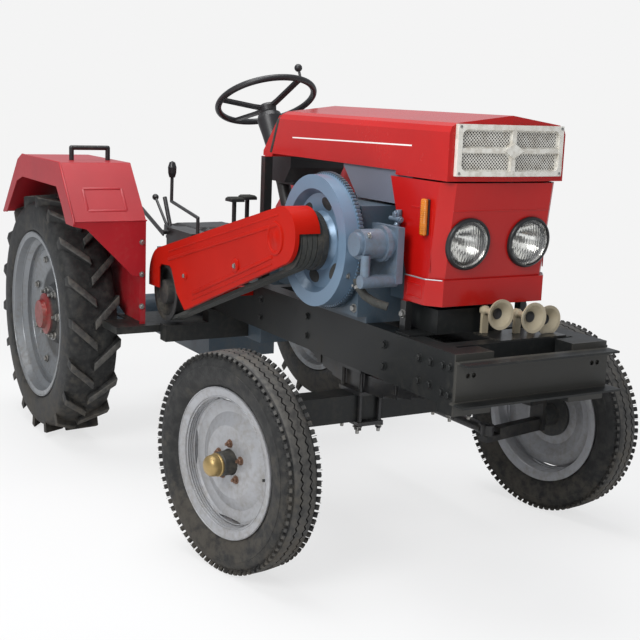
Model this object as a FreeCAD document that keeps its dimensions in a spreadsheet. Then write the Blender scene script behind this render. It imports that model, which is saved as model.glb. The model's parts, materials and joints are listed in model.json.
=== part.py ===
# Compact tractor: a single-cylinder, belt-driven farm tractor on a leaf-sprung front axle.
# Millimetres.  +X points forward, +Y to the driver's left, +Z up.
# The origin is on the ground, in the middle of the tractor's length and width.
import FreeCAD, Part
import math
import os
import re
import Sketcher
from FreeCAD import Rotation, Vector

os.makedirs("parts", exist_ok=True)
doc = FreeCAD.newDocument("CompactTractor")

# ---------------------------------------------------------------------------------------
# Driving sizes.  "Ahead" and "behind" are measured from the front axle.
# ---------------------------------------------------------------------------------------
SIZES = [
    # stance
    ("front_axle_x", 724, "front axle from the origin"),
    ("wheelbase", 1620, "front axle to rear axle"),
    ("front_track", 1260, "between the middles of the front tyres"),
    ("rear_track", 1310, "between the middles of the rear tyres"),
    ("steer_rest", 11, "angle to the left at which the front wheels are parked"),
    # front wheels
    ("front_tyre_diameter", 670, ""),
    ("front_tyre_width", 124, ""),
    ("front_rim_diameter", 460, "over the flanges"),
    ("front_rim_width", 94, "over the flanges"),
    ("front_disc_offset", 20, "outer face of the disc outside the middle of the rim"),
    ("spindle_radius", 22, ""),
    ("hub_flange_radius", 78, ""),
    ("hub_nose", 46, "hub nose outside the disc"),
    ("disc_flat", 180, "flat sides of the front discs from the wheel's middle"),
    # rear wheels
    ("rear_tyre_diameter", 982, "over the lugs"),
    ("rear_tyre_width", 206, ""),
    ("rear_rim_diameter", 676, "over the flanges"),
    ("rear_rim_width", 190, "over the flanges"),
    ("rear_disc_offset", 30, "outer face of the disc outside the middle of the rim"),
    ("half_shaft_radius", 30, ""),
    ("lug_height", 26, "rear tyre lugs above the carcass"),
    ("lug_width", 34, ""),
    ("lug_slant", 96, "how far a lug runs round the tyre on its way to the shoulder"),
    ("lug_count", 18, "on each half of the tread"),
    ("rim_wall", 5, "sheet of the rims and discs"),
    # chassis
    ("rail_bottom", 605, "underside of the chassis rails above the ground"),
    ("rail_height", 150, ""),
    ("rail_flange", 60, ""),
    ("rail_wall", 8, ""),
    ("rail_spread", 536, "over the outer faces of both rails"),
    ("rail_front", 528, "front end of the rails ahead"),
    ("rail_rear", 1330, "rear end of the rails behind"),
    ("cross_member", 50, "length of each cross member along the tractor"),
    ("front_cross", 466, "front cross member ahead"),
    ("front_cross_lift", 60, "above the rails' underside, clear of the springs"),
    ("middle_cross", 560, "middle cross member behind"),
    ("gearbox_stay", 1300, "stays between gearbox and rails behind"),
    ("hanger_length", 74, "front spring hanger"),
    ("hanger_drop", 21, "hanger below the rail"),
    ("hanger_width", 128, ""),
    ("bumper_height", 117, ""),
    ("bumper_bottom", 619, ""),
    ("bumper_flange", 53, ""),
    ("bumper_lip", 12, "how far the lower flange is longer at each end"),
    ("bolt_hole_radius", 7, ""),
    # front axle
    ("beam_size", 86, "square section of the axle beam"),
    ("beam_bottom", 418, ""),
    ("kingpin_spread", 1030, "between the kingpins"),
    ("kingpin_radius", 16, ""),
    ("fit", 0.05, "running clearance on the radius"),
    ("yoke_gap", 5, "above and below the beam"),
    ("yoke_plate", 18, "thickness of the yoke behind the wheel"),
    ("yoke_reach", 42, "kingpin to the inside of the yoke"),
    ("lug_plate", 20, "thickness of the yoke's lugs"),
    ("track_arm", 135, "kingpin to the tie rod's stud"),
    ("tie_rod_radius", 11, ""),
    ("stud_radius", 8, ""),
    ("drag_arm", 214, "kingpin to the drag link's stud"),
    ("drag_arm_depth", 42, ""),
    ("drag_link_radius", 18, ""),
    ("drop_arm_x", 760, "drop arm shaft behind"),
    ("drop_arm_z", 680, "drop arm shaft above the ground"),
    ("drop_shaft_radius", 14, ""),
    ("drop_gap", 9.5, "beside the drag link, which swings sideways"),
    # springs
    ("spring_centre_y", 178, "middle of each leaf spring from the centre line"),
    ("leaf_width", 52, ""),
    ("leaf_thickness", 8, ""),
    ("leaf_count", 7, ""),
    ("spring_eye_radius", 18, ""),
    ("spring_pin_radius", 9, ""),
    ("spring_front", 545, "front eye ahead"),
    ("spring_rear", 455, "rear eye behind"),
    ("spring_eye_z", 646, ""),
    ("spring_seat", 12, "pad between beam and leaves"),
    ("u_bolt_radius", 7, ""),
    # engine
    ("crank_x", 14, "crankshaft behind the front axle"),
    ("crank_z", 986, ""),
    ("flywheel_radius", 199, ""),
    ("flywheel_width", 60, ""),
    ("flywheel_face", 370, "outer face of the flywheel from the centre line"),
    ("ring_tooth", 5, "height of the ring gear's teeth"),
    ("crank_radius", 30, ""),
    ("crank_pulley_radius", 86, ""),
    ("pulley_width", 62, ""),
    ("clutch_x", 950, "clutch pulley behind the front axle"),
    ("clutch_z", 680, ""),
    ("clutch_pulley_radius", 108, ""),
    ("clutch_shaft_radius", 22, ""),
    ("belt_thickness", 11, ""),
    ("belt_seat", 0.3, "belts above the pulleys' grooves"),
    ("crank_flange_radius", 90, ""),
    ("block_side", 300, "flywheel side of the engine from the centre line"),
    ("block_width", 430, ""),
    ("block_height", 330, ""),
    ("mount_height", 20, "engine feet on the rails"),
    # belt cover
    ("cover_face", 478, "outer face of the belt cover from the centre line"),
    ("cover_depth", 84, ""),
    ("cover_lip", 14, "depth of the edge where the lower belts pass"),
    ("cover_nose", 91, "front of the cover ahead of the crankshaft"),
    ("cover_heel", 107, "back of the cover behind the clutch shaft"),
    ("cover_rise", 131, "top of the cover above the crankshaft"),
    ("cover_front_radius", 84, ""),
    ("cover_rear_radius", 122, ""),
    ("cover_stay", 330, "stay ahead of the clutch shaft"),
    ("sheet", 4, "pressed sheet"),
    # bonnet and front panel
    ("hood_width", 410, ""),
    ("hood_front", 431, "front corners of the hood ahead"),
    ("hood_peak", 12, "how far the middle of the front stands out"),
    ("hood_rear", 548, "rear edge of the hood behind, at the shoulders"),
    ("hood_slant", 67, "how much further back the rear edge is at the bottom"),
    ("hood_bottom", 1199, ""),
    ("hood_step", 13, "how much higher the bottom edge is behind the front panel"),
    ("hood_step_x", 175, "where the bottom edge steps up, ahead"),
    ("hood_shoulder", 1356, "where the sides meet the top"),
    ("hood_crown", 26, "middle of the top above the shoulders"),
    ("hood_round", 24, ""),
    ("grille_width", 372, ""),
    ("grille_bottom", 1214, ""),
    ("grille_height", 142, ""),
    ("grille_depth", 14, ""),
    ("grille_rim", 14, "border round the grille's panel"),
    ("hinge_drop", 26, "hood hinge below the shoulders"),
    ("hinge_back", 14, "hood hinge behind the hood"),
    ("hinge_radius", 7, ""),
    ("hood_gap", 30, "between hood and cowl"),
    ("cowl_back", 130, "length of the cowl at its foot"),
    ("panel_top", 1194, ""),
    ("panel_bottom", 844, ""),
    ("panel_ledge", 919, "where the lower band starts"),
    ("panel_rake", 32, "how far the panel leans back from its top to the ledge"),
    ("band_step", 9, "how far the lower band stands out"),
    ("panel_rear_top", 150, "rear edge of the side ahead, at the top"),
    ("panel_rear_bottom", 282, "rear edge of the side ahead, at the bottom"),
    ("panel_chamfer", 34, "flattened front corners"),
    ("lamp_radius", 68, ""),
    ("lamp_spread", 218, "between the headlamps"),
    ("lamp_z", 1022, ""),
    ("lamp_depth", 70, ""),
    ("marker_height", 106, ""),
    # rear bodywork
    ("fender_inside", 140, "inner wall inside the middle of the rear tyre"),
    ("fender_outside", 137, "outer edge outside the middle of the rear tyre"),
    ("fender_front", 622, "upright front ahead of the rear axle"),
    ("fender_brow", 455, "front end of the flat top ahead of the rear axle"),
    ("fender_back", 30, "rear end of the flat top behind the rear axle"),
    ("fender_hip", 87, "where the back turns down, behind the rear axle"),
    ("fender_tail", 318, "rear lip behind the rear axle"),
    ("fender_top", 649, "flat top above the rear axle"),
    ("fender_crease", 449, "where the sloping front meets the upright front, above the rear axle"),
    ("fender_hip_rise", 626, "above the rear axle"),
    ("fender_tail_rise", 391, "above the rear axle"),
    ("handle_radius", 9, ""),
    ("handle_ahead", 320, "hand-holds ahead of the rear axle"),
    ("handle_rise", 56, ""),
    ("footboard_z", 527, "underside of the footboards' edges"),
    ("step_front", 660, "front edge of the footboards ahead of the rear axle"),
    ("step_beam", 55, "length of the beam that carries the footboards"),
    # gearbox
    ("gearbox_front", 800, "behind the front axle"),
    ("gearbox_width", 260, ""),
    ("gearbox_top", 790, ""),
    ("gearbox_bottom", 430, ""),
    ("axle_tube_radius", 58, ""),
    ("drawbar_z", 318, "top of the drawbar"),
    ("drawbar_reach", 320, "pin hole behind the rear axle"),
    ("drawbar_pin", 12, "radius of the pin hole"),
    # steering
    ("steering_wheel_radius", 188, "middle of the rim"),
    ("steering_rim_radius", 12, ""),
    ("steering_wheel_x", 1064, "hub behind the front axle"),
    ("steering_wheel_z", 1389, ""),
    ("column_tilt", 28, ""),
    ("column_radius", 26, ""),
    ("pedal_z", 1005, "pedals above the ground"),
    ("seat_z", 790, "underside of the cushion"),
    ("seat_x", 1575, "middle of the cushion behind the front axle"),
    ("seat_length", 270, ""),
    ("seat_width", 296, ""),
    ("seat_thickness", 60, ""),
]
VALUE = {alias: number for alias, number, note in SIZES}

sheet = doc.addObject("Spreadsheet::Sheet", "Sizes")
for row, (alias, number, note) in enumerate(SIZES, start=1):
    sheet.set(f"A{row}", alias.replace("_", " "))
    sheet.set(f"B{row}", str(number))
    sheet.set(f"C{row}", note)
    sheet.setAlias(f"B{row}", alias)
doc.recompute()


def size(alias):
    """The number that the sheet now holds for an alias."""
    return float(sheet.get(alias))


# Places used again and again, as formulas on the sheet.
FRONT = "front_axle_x"
REAR = "(front_axle_x - wheelbase)"
HUB_FRONT = "front_tyre_diameter / 2"
HUB_REAR = "rear_tyre_diameter / 2"
RAIL_TOP = "(rail_bottom + rail_height)"
RAIL_OUT = "rail_spread / 2"
RAIL_IN = "(rail_spread / 2 - rail_flange)"
BEAM_TOP = "(beam_bottom + beam_size)"
KINGPIN = "kingpin_spread / 2"
WHEEL_OUT = "(front_track / 2 - kingpin_spread / 2)"
CRANK_X = "(front_axle_x - crank_x)"
CLUTCH_X = "(front_axle_x - clutch_x)"
PULLEY_IN = "(cover_face - cover_depth)"
HINGE_X = "(front_axle_x - hood_rear - hinge_back)"
HINGE_Z = "(hood_shoulder - hinge_drop)"
FENDER_IN = "(rear_track / 2 - fender_inside)"
FENDER_OUT = "(rear_track / 2 + fender_outside)"
STEP_FRONT = "(front_axle_x - wheelbase + step_front)"
SIDES = {"right": -1, "left": 1}


# ---------------------------------------------------------------------------------------
# Drawing helpers
# ---------------------------------------------------------------------------------------
def on_sheet(formula):
    """Point every size name in a formula at the spreadsheet."""
    return re.sub(r"[a-z][a-z_]*", lambda word: "Sizes." + word.group()
                  if word.group() in VALUE else word.group(), str(formula))


def number(formula):
    """Work a formula out now, for the starting shape of a sketch."""
    return float(sheet.evalExpression(on_sheet(formula)))


def bind(thing, **formulas):
    """Tie properties to the sheet; two underscores stand for a dot."""
    for name, formula in formulas.items():
        thing.setExpression(name.replace("__", "."), on_sheet(formula))
    return thing


def place(thing, x="0", y="0", z="0", axis=None, angle=None):
    """Put a shape at formulas x, y, z, turned about an axis by a formula."""
    if axis is not None:
        thing.Placement = FreeCAD.Placement(Vector(), Rotation(Vector(*axis), 1))
        bind(thing, Placement__Rotation__Angle=angle)
    bind(thing, Placement__Base__x=x, Placement__Base__y=y, Placement__Base__z=z)
    return thing


def box(name, x, y, z):
    """A block between pairs of formulas (low, high) along each axis."""
    block = doc.addObject("Part::Box", name)
    bind(block, Length=f"{x[1]} - ({x[0]})", Width=f"{y[1]} - ({y[0]})",
         Height=f"{z[1]} - ({z[0]})")
    return place(block, x[0], y[0], z[0])


ALONG = {"x": (0, 1, 0), "y": (-1, 0, 0), "z": (0, 0, 1)}


def rod(name, along, radius, start, length):
    """A round bar from start, along +x, +y or +z."""
    bar = doc.addObject("Part::Cylinder", name)
    bind(bar, Radius=radius, Height=length)
    if along == "z":
        return place(bar, *start)
    return place(bar, *start, axis=ALONG[along], angle="90")


def fuse(name, *shapes):
    """Join shapes into one solid."""
    joined = doc.addObject("Part::MultiFuse", name)
    joined.Shapes = list(shapes)
    joined.Refine = True
    return joined


def cut(name, base, *tools):
    """Take one or more shapes away from another."""
    result = doc.addObject("Part::Cut", name)
    result.Base = base
    result.Tool = tools[0] if len(tools) == 1 else fuse(name + "Tools", *tools)
    result.Refine = True
    return result


def common(name, *shapes):
    """Keep what several shapes share."""
    shared = doc.addObject("Part::MultiCommon", name)
    shared.Shapes = list(shapes)
    shared.Refine = True
    return shared


def mirrored(name, source):
    """The left-hand copy of a right-hand piece."""
    copy = doc.addObject("Part::Mirroring", name)
    copy.Source = source
    copy.Base = Vector(0, 0, 0)
    copy.Normal = Vector(0, 1, 0)
    return copy


def together(name, *shapes):
    """Several like pieces in one node, without joining them."""
    group = doc.addObject("Part::Compound", name)
    group.Links = list(shapes)
    return group


def new_sketch(body, plane, name):
    """A sketch on one of the body's own origin planes."""
    sketch = body.newObject("Sketcher::SketchObject", name)
    origin = next(f for f in body.Origin.OriginFeatures if f.Role == plane)
    sketch.AttachmentSupport = [(origin, "")]
    sketch.MapMode = "FlatFace"
    return sketch


def polygon(sketch, corners):
    """Draw a closed outline whose corners are formulas, each held by two dimensions."""
    points = [Vector(number(a), number(b), 0) for a, b in corners]
    count = len(points)
    for index, point in enumerate(points):
        sketch.addGeometry(Part.LineSegment(point, points[(index + 1) % count]), False)
    for index in range(count):
        sketch.addConstraint(Sketcher.Constraint("Coincident", index, 2, (index + 1) % count, 1))
    for index, corner in enumerate(corners):
        for kind, formula, value in zip(("DistanceX", "DistanceY"), corner, points[index]):
            held = sketch.addConstraint(Sketcher.Constraint(kind, -1, 1, index, 1, value))
            sketch.setExpression(f"Constraints[{held}]", on_sheet(formula))


def capsule(sketch, front, front_radius, rear, rear_radius):
    """Draw two arcs joined by their outer tangents, as round a pair of pulleys."""
    ends = [(Vector(number(rear[0]), number(rear[1]), 0), number(rear_radius)),
            (Vector(number(front[0]), number(front[1]), 0), number(front_radius))]
    (centre_r, radius_r), (centre_f, radius_f) = ends
    span = centre_f - centre_r
    heading = math.atan2(span.y, span.x)
    lean = math.acos((radius_r - radius_f) / span.Length)
    upper, lower = heading + lean, heading - lean + 2 * math.pi
    axis = Vector(0, 0, 1)
    arc_r = Part.ArcOfCircle(Part.Circle(centre_r, axis, radius_r), upper, lower)
    arc_f = Part.ArcOfCircle(Part.Circle(centre_f, axis, radius_f), lower - 2 * math.pi, upper)
    sketch.addGeometry(arc_r, False)
    sketch.addGeometry(arc_f, False)
    sketch.addGeometry(Part.LineSegment(arc_f.EndPoint, arc_r.StartPoint), False)
    sketch.addGeometry(Part.LineSegment(arc_r.EndPoint, arc_f.StartPoint), False)
    for first, end_a, second, end_b in ((1, 2, 2, 1), (2, 2, 0, 1), (0, 2, 3, 1), (3, 2, 1, 1)):
        sketch.addConstraint(Sketcher.Constraint("Tangent", first, end_a, second, end_b))
    for index, centre, radius in ((0, rear, rear_radius), (1, front, front_radius)):
        here = ends[index][0]
        for kind, formula, value in (("DistanceX", centre[0], here.x), ("DistanceY", centre[1], here.y)):
            held = sketch.addConstraint(Sketcher.Constraint(kind, -1, 1, index, 3, value))
            sketch.setExpression(f"Constraints[{held}]", on_sheet(formula))
        held = sketch.addConstraint(Sketcher.Constraint("Radius", index, ends[index][1]))
        sketch.setExpression(f"Constraints[{held}]", on_sheet(radius))


def slab(name, plane, corners, start, depth):
    """Pad an outline of formulas.  XZ outlines grow towards -Y from start, YZ outlines
    towards +X and XY outlines upwards."""
    body = doc.addObject("PartDesign::Body", name)
    sketch = new_sketch(body, plane, name + "Outline")
    if callable(corners):
        corners(sketch)
    else:
        polygon(sketch, corners)
    pad = body.newObject("PartDesign::Pad", name + "Pad")
    pad.Profile = sketch
    bind(pad, Length=depth)
    slide = {"XZ_Plane": "y", "YZ_Plane": "x", "XY_Plane": "z"}[plane]
    place(body, **{slide: start})
    return body


def lathe(name, corners):
    """Turn an outline of (radius, height) formulas about its own Z axis."""
    body = doc.addObject("PartDesign::Body", name)
    sketch = new_sketch(body, "XZ_Plane", name + "Outline")
    polygon(sketch, corners)
    turned = body.newObject("PartDesign::Revolution", name + "Turn")
    turned.Profile = sketch
    turned.ReferenceAxis = (sketch, ["V_Axis"])
    turned.Angle = 360
    return body


def rounded(sketch, corners):
    """Draw an anticlockwise outline of (across, up, radius) formulas with a fillet at each corner."""
    points = [Vector(number(a), number(b), 0) for a, b, radius in corners]
    radii = [number(radius) for a, b, radius in corners]
    count = len(corners)
    trims = []
    for index, point in enumerate(points):
        back = (points[index - 1] - point).normalize()
        ahead = (points[(index + 1) % count] - point).normalize()
        opening = back.getAngle(ahead)
        reach = radii[index] / math.tan(opening / 2)
        centre = point + (back + ahead).normalize() * (radii[index] / math.sin(opening / 2))
        trims.append((point + back * reach, point + ahead * reach, centre))
    for index in range(count):
        sketch.addGeometry(Part.LineSegment(trims[index][1], trims[(index + 1) % count][0]), False)
    for index, (enter, leave, centre) in enumerate(trims):
        start = math.atan2(enter.y - centre.y, enter.x - centre.x)
        end = math.atan2(leave.y - centre.y, leave.x - centre.x)
        if end < start:
            end += 2 * math.pi
        circle = Part.Circle(centre, Vector(0, 0, 1), radii[index])
        sketch.addGeometry(Part.ArcOfCircle(circle, start, end), False)
    for index, point in enumerate(points):
        sketch.addGeometry(Part.Point(point), True)
    for index in range(count):
        arc, before, tip = count + index, (index - 1) % count, 2 * count + index
        sketch.addConstraint(Sketcher.Constraint("Tangent", before, 2, arc, 1))
        sketch.addConstraint(Sketcher.Constraint("Tangent", arc, 2, index, 1))
        sketch.addConstraint(Sketcher.Constraint("PointOnObject", tip, 1, before))
        sketch.addConstraint(Sketcher.Constraint("PointOnObject", tip, 1, index))
        held = sketch.addConstraint(Sketcher.Constraint("Radius", arc, radii[index]))
        sketch.setExpression(f"Constraints[{held}]", on_sheet(corners[index][2]))
        for kind, formula, value in zip(("DistanceX", "DistanceY"), corners[index], points[index]):
            held = sketch.addConstraint(Sketcher.Constraint(kind, -1, 1, tip, 1, value))
            sketch.setExpression(f"Constraints[{held}]", on_sheet(formula))


def ring_row(name, plane, outline, root, depth, count, turn="0"):
    """A pad on one of the origin planes, repeated all round the Z axis."""
    body = doc.addObject("PartDesign::Body", name)
    body.AllowCompound = True
    sketch = new_sketch(body, plane, name + "Outline")
    polygon(sketch, outline)
    bind(sketch, AttachmentOffset__Base__z=root)
    pad = body.newObject("PartDesign::Pad", name + "Pad")
    pad.Profile = sketch
    bind(pad, Length=depth)
    row = body.newObject("PartDesign::PolarPattern", name + "Row")
    row.Originals = [pad]
    row.Axis = (next(f for f in body.Origin.OriginFeatures if f.Role == "Z_Axis"), [""])
    row.Angle = 360
    bind(row, Occurrences=count)
    body.Tip = row
    body.Placement = FreeCAD.Placement(Vector(), Rotation(Vector(0, 0, 1), 1))
    bind(body, Placement__Rotation__Angle=turn)
    return body


def faceted_ring(name, facets, side):
    """A disc pared to flat facets along half an outline of (radius, height) formulas,
    from the edge of its flat wall to its tread."""
    (wall, edge), (tread, _) = side[0], side[-1]
    reach = f"({tread}) / cos(180 / {facets}) + 2"
    blank = rod(f"{name}Disc", "z", reach, ("0", "0", f"-({edge})"), f"2 * ({edge})")
    lower = [(radius, f"-({height})") for radius, height in side[::-1]]
    outline = [(wall, f"{edge} + 5")] + side + lower
    outline += [(wall, f"-({edge}) - 5"), (f"{reach} + 8", f"-({edge}) - 5"), (f"{reach} + 8", f"{edge} + 5")]
    half = f"({reach}) * tan(180 / {facets}) * 1.2"
    paring = ring_row(f"{name}Paring", "XZ_Plane", outline, f"-{half}", f"2 * {half}", facets)
    return cut(f"{name}Facets", blank, paring)


def faceted_bore(name, facets, radius, low, high):
    """A flat-sided hole that lines up with the facets of a ring."""
    hole = doc.addObject("Part::Prism", name)
    hole.Polygon = facets
    bind(hole, Circumradius=f"({radius}) / cos(180 / {facets})", Height=f"{high} - ({low})")
    return place(hole, z=low, axis=(0, 0, 1), angle=f"180 / {facets}")


def bead_bores(name, facets, bore, recess, seat, edge):
    """The hole for a rim, with a wider step at each side for the rim's flanges."""
    return [faceted_bore(f"{name}Bore", facets, bore, f"-({edge}) - 1", f"{edge} + 1"),
            faceted_bore(f"{name}UpperStep", facets, recess, seat, f"{edge} + 1"),
            faceted_bore(f"{name}LowerStep", facets, recess, f"-({edge}) - 1", f"-({seat})")]


def leaning(name, radius, foot, tip, y):
    """A round bar in a lengthwise upright plane between two (ahead, height) points."""
    ahead, rise = f"(({tip[0]}) - ({foot[0]}))", f"(({tip[1]}) - ({foot[1]}))"
    bar = rod(name, "z", radius, ("0", "0", "0"), f"sqrt({ahead} ^ 2 + {rise} ^ 2)")
    return place(bar, foot[0], y, foot[1], axis=(0, 1, 0), angle=f"atan({ahead} / {rise}) / 1 deg")


nodes = {}


def node(label, thing):
    """Name a finished piece of the tractor."""
    thing.Label = label
    nodes[label] = thing
    return thing


# ---------------------------------------------------------------------------------------
# Chassis
# ---------------------------------------------------------------------------------------
def chassis():
    outer, inner = RAIL_OUT, RAIL_IN
    low, high = "rail_bottom", RAIL_TOP
    channel = [(f"-{outer}", low), (f"-{inner}", low), (f"-{inner}", f"{low} + rail_wall"),
               (f"-({outer} - rail_wall)", f"{low} + rail_wall"),
               (f"-({outer} - rail_wall)", f"{high} - rail_wall"),
               (f"-{inner}", f"{high} - rail_wall"), (f"-{inner}", high), (f"-{outer}", high)]
    rail = slab("RailShape", "YZ_Plane", channel, f"{FRONT} - rail_rear", "rail_front + rail_rear")
    clutch_hole = rod("RailClutchHole", "y", "clutch_shaft_radius + 5",
                      (CLUTCH_X, f"-{outer}", "clutch_z"), "rail_flange")
    node("frame_rail_right", cut("RailRight", rail, clutch_hole))
    shaft_hole = rod("RailShaftHole", "y", "drop_shaft_radius + 5",
                     (f"{FRONT} - drop_arm_x", f"{inner}", "drop_arm_z"), "rail_flange")
    node("frame_rail_left", cut("RailLeft", mirrored("RailMirror", rail), shaft_hole))

    members = [box("CrossFront", (f"{FRONT} + front_cross", f"{FRONT} + front_cross + cross_member"),
                   (f"-{inner}", inner), (f"{low} + front_cross_lift", high)),
               box("CrossMiddle", (f"{FRONT} - middle_cross", f"{FRONT} - middle_cross + cross_member"),
                   (f"-{inner}", inner), (low, high))]
    gear = "(gearbox_width / 2)"
    stay = box("GearboxStay", (f"{FRONT} - gearbox_stay", f"{FRONT} - gearbox_stay + cross_member"),
               (f"-{inner}", f"-({gear} + 20)"), (f"{low} + 20", f"{low} + 100"))
    along = (STEP_FRONT, f"{STEP_FRONT} + step_beam")
    step_top = "(footboard_z + 33)"
    outrigger = box("StepBeam", along, (f"-({FENDER_IN} - 45)", f"-{gear}"), ("footboard_z - 29", step_top))
    hanger = box("StepHanger", along, (f"-({outer} + 30)", f"-{gear}"), (step_top, low))
    beam = fuse("StepBeamRight", outrigger, hanger)
    members += [stay, mirrored("GearboxStayLeft", stay), beam, mirrored("StepBeamLeft", beam)]
    shaft_length = "rail_spread - 2 * rail_wall"
    members.append(rod("SpringShaft", "y", "spring_pin_radius",
                       (f"{FRONT} - spring_rear", f"-({shaft_length}) / 2", "spring_eye_z"), shaft_length))
    node("cross_members", together("CrossMembers", *members))


def front_bumper():
    back = f"{FRONT} + rail_front + hanger_length"
    web = "rail_wall"
    low = "bumper_bottom"
    high = "(bumper_bottom + bumper_height)"
    half = RAIL_OUT
    channel = box("BumperWeb", (back, f"{back} + {web}"), (f"-{half}", half), (low, high))
    lower = box("BumperLower", (back, f"{back} + {web} + bumper_flange"),
                (f"-({half} + bumper_lip)", f"{half} + bumper_lip"), (low, f"{low} + 6"))
    upper = box("BumperUpper", (back, f"{back} + {web} + bumper_flange - 6"), (f"-{half}", half),
                (f"{high} - 6", high))
    holes = []
    for side in SIDES.values():
        for step in (38, 58):
            holes.append(rod("BumperHole", "x", "bolt_hole_radius",
                             (back, f"{side} * ({half} - {step})", f"{high} - 40"), web))
    node("bumper_channel", cut("Bumper", fuse("BumperShape", channel, lower, upper), *holes))

    outer = "rail_spread / 2"
    inner = "(rail_spread / 2 - hanger_width)"
    start, end = f"{FRONT} + rail_front", f"{FRONT} + rail_front + hanger_length"
    bottom, top = "rail_bottom - hanger_drop", RAIL_TOP
    block = box("HangerBlock", (start, end), (f"-{outer}", f"-{inner}"), (bottom, top))
    hollow = box("HangerHollow", (start, f"{end} - rail_wall"),
                 (f"-({outer} - rail_wall)", f"-({inner} + rail_wall)"), (bottom, f"{top} - rail_wall"))
    pin = rod("HangerPin", "y", "spring_pin_radius",
              (f"{FRONT} + spring_front", f"-{outer}", "spring_eye_z"), "hanger_width")
    hanger = fuse("HangerRight", cut("HangerShell", block, hollow), pin)
    node("spring_hangers", together("Hangers", hanger, mirrored("HangerLeft", hanger)))


# ---------------------------------------------------------------------------------------
# Springs and front axle
# ---------------------------------------------------------------------------------------
def leaf_spring(name, side):
    """Stacked arcs of flat spring steel with a rolled eye at each end of the top leaf."""
    offset = (size("spring_front") - size("spring_rear")) / 2
    middle_x = size("front_axle_x") + offset
    half_span = (size("spring_front") + size("spring_rear")) / 2
    leaf, count = size("leaf_thickness"), int(size("leaf_count"))
    bottom = size("beam_bottom") + size("beam_size") + size("spring_seat")
    sag = size("spring_eye_z") - (bottom + leaf * (count - 0.5))
    radius = (half_span ** 2 + sag ** 2) / (2 * sag)
    centre_z = size("spring_eye_z") - sag + radius
    low_y = side * size("spring_centre_y") - size("leaf_width") / 2
    width = Vector(0, size("leaf_width"), 0)

    def at(distance, angle):
        return Vector(middle_x + distance * math.sin(angle), low_y, centre_z - distance * math.cos(angle))

    leaves = []
    full = math.asin(half_span / radius)
    seat = -math.asin(offset / radius)
    for index in range(count):
        share = 1 if index == 0 else 0.96 - 0.8 * (index - 1) / (count - 1)
        middle = seat * (1 - share)
        front, rear = middle + full * share, middle - full * share
        above, below = radius + leaf * (index - 0.5), radius + leaf * (index + 0.5)
        edge = [Part.Arc(at(above, rear), at(above, middle), at(above, front)).toShape(),
                Part.LineSegment(at(above, front), at(below, front)).toShape(),
                Part.Arc(at(below, front), at(below, middle), at(below, rear)).toShape(),
                Part.LineSegment(at(below, rear), at(above, rear)).toShape()]
        leaves.append(Part.Face(Part.Wire(edge)).extrude(width))
    eyes, bores = [], []
    for sign in (-1, 1):
        eye = Vector(middle_x + sign * half_span, low_y, size("spring_eye_z"))
        eyes.append(Part.makeCylinder(size("spring_eye_radius"), width.y, eye, Vector(0, 1, 0)))
        bore = size("spring_pin_radius") + size("fit")
        bores.append(Part.makeCylinder(bore, width.y, eye, Vector(0, 1, 0)))
    spring = doc.addObject("Part::Feature", name)
    spring.Shape = leaves[0].multiFuse(leaves[1:] + eyes).cut(bores).removeSplitter()
    return spring


def springs():
    pair = [leaf_spring(f"Spring{name.title()}", side) for name, side in SIDES.items()]
    node("leaf_springs", together("Springs", *pair))

    middle = "spring_centre_y"
    leg_y = "(leaf_width / 2 + u_bolt_radius + 3)"
    leg_x = "(beam_size / 2 + u_bolt_radius + 3)"
    reach_x, reach_y = f"({leg_x} + 10)", f"({leg_y} + 10)"
    stack_top = f"({BEAM_TOP} + spring_seat + leaf_count * leaf_thickness + 4)"
    across = (f"-({middle} + {reach_y})", f"-({middle} - {reach_y})")
    along = (f"{FRONT} - {reach_x}", f"{FRONT} + {reach_x}")
    plates = [box("ClampTop", along, across, (stack_top, f"{stack_top} + 10")),
              box("ClampSeat", along, across, (BEAM_TOP, f"{BEAM_TOP} + spring_seat - 0.3")),
              box("ClampPlate", along, across, ("beam_bottom - 12", "beam_bottom"))]
    legs = []
    for x_sign in (-1, 1):
        for y_sign in (-1, 1):
            legs.append(rod("ClampLeg", "z", "u_bolt_radius",
                            (f"{FRONT} + {x_sign} * {leg_x}", f"-{middle} + {y_sign} * {leg_y}",
                             "beam_bottom - 26"), f"{stack_top} + 14 - beam_bottom + 26"))
    clamp = fuse("ClampRight", *plates, *legs)
    node("spring_clamps", together("Clamps", clamp, mirrored("ClampLeft", clamp)))


def axle_beam():
    half = "beam_size / 2"
    beam = box("BeamTube", (f"{FRONT} - {half}", f"{FRONT} + {half}"), (f"-({KINGPIN} - 5)", f"{KINGPIN} - 5"),
               ("beam_bottom", BEAM_TOP))
    eyes, bores = [], []
    for side in SIDES.values():
        at = (FRONT, f"{side} * {KINGPIN}", "beam_bottom")
        eyes.append(rod("BeamEye", "z", "yoke_reach - 7", at, "beam_size"))
        bores.append(rod("BeamBore", "z", "kingpin_radius + fit", at, "beam_size"))
    node("front_axle_beam", cut("Beam", fuse("BeamShape", beam, *eyes), *bores))


def steered(name, side, shape):
    """Place a piece that was drawn about its kingpin, at the parked steering angle."""
    turn = "steer_rest"
    return place(shape, FRONT, f"{side} * {KINGPIN}", "0", axis=(0, 0, 1), angle=turn)


def outward(side, near, far):
    """A (low, high) pair of formulas across the tractor, from near to far out of the kingpin."""
    return (near, far) if side > 0 else (f"-({far})", f"-({near})")


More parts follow.
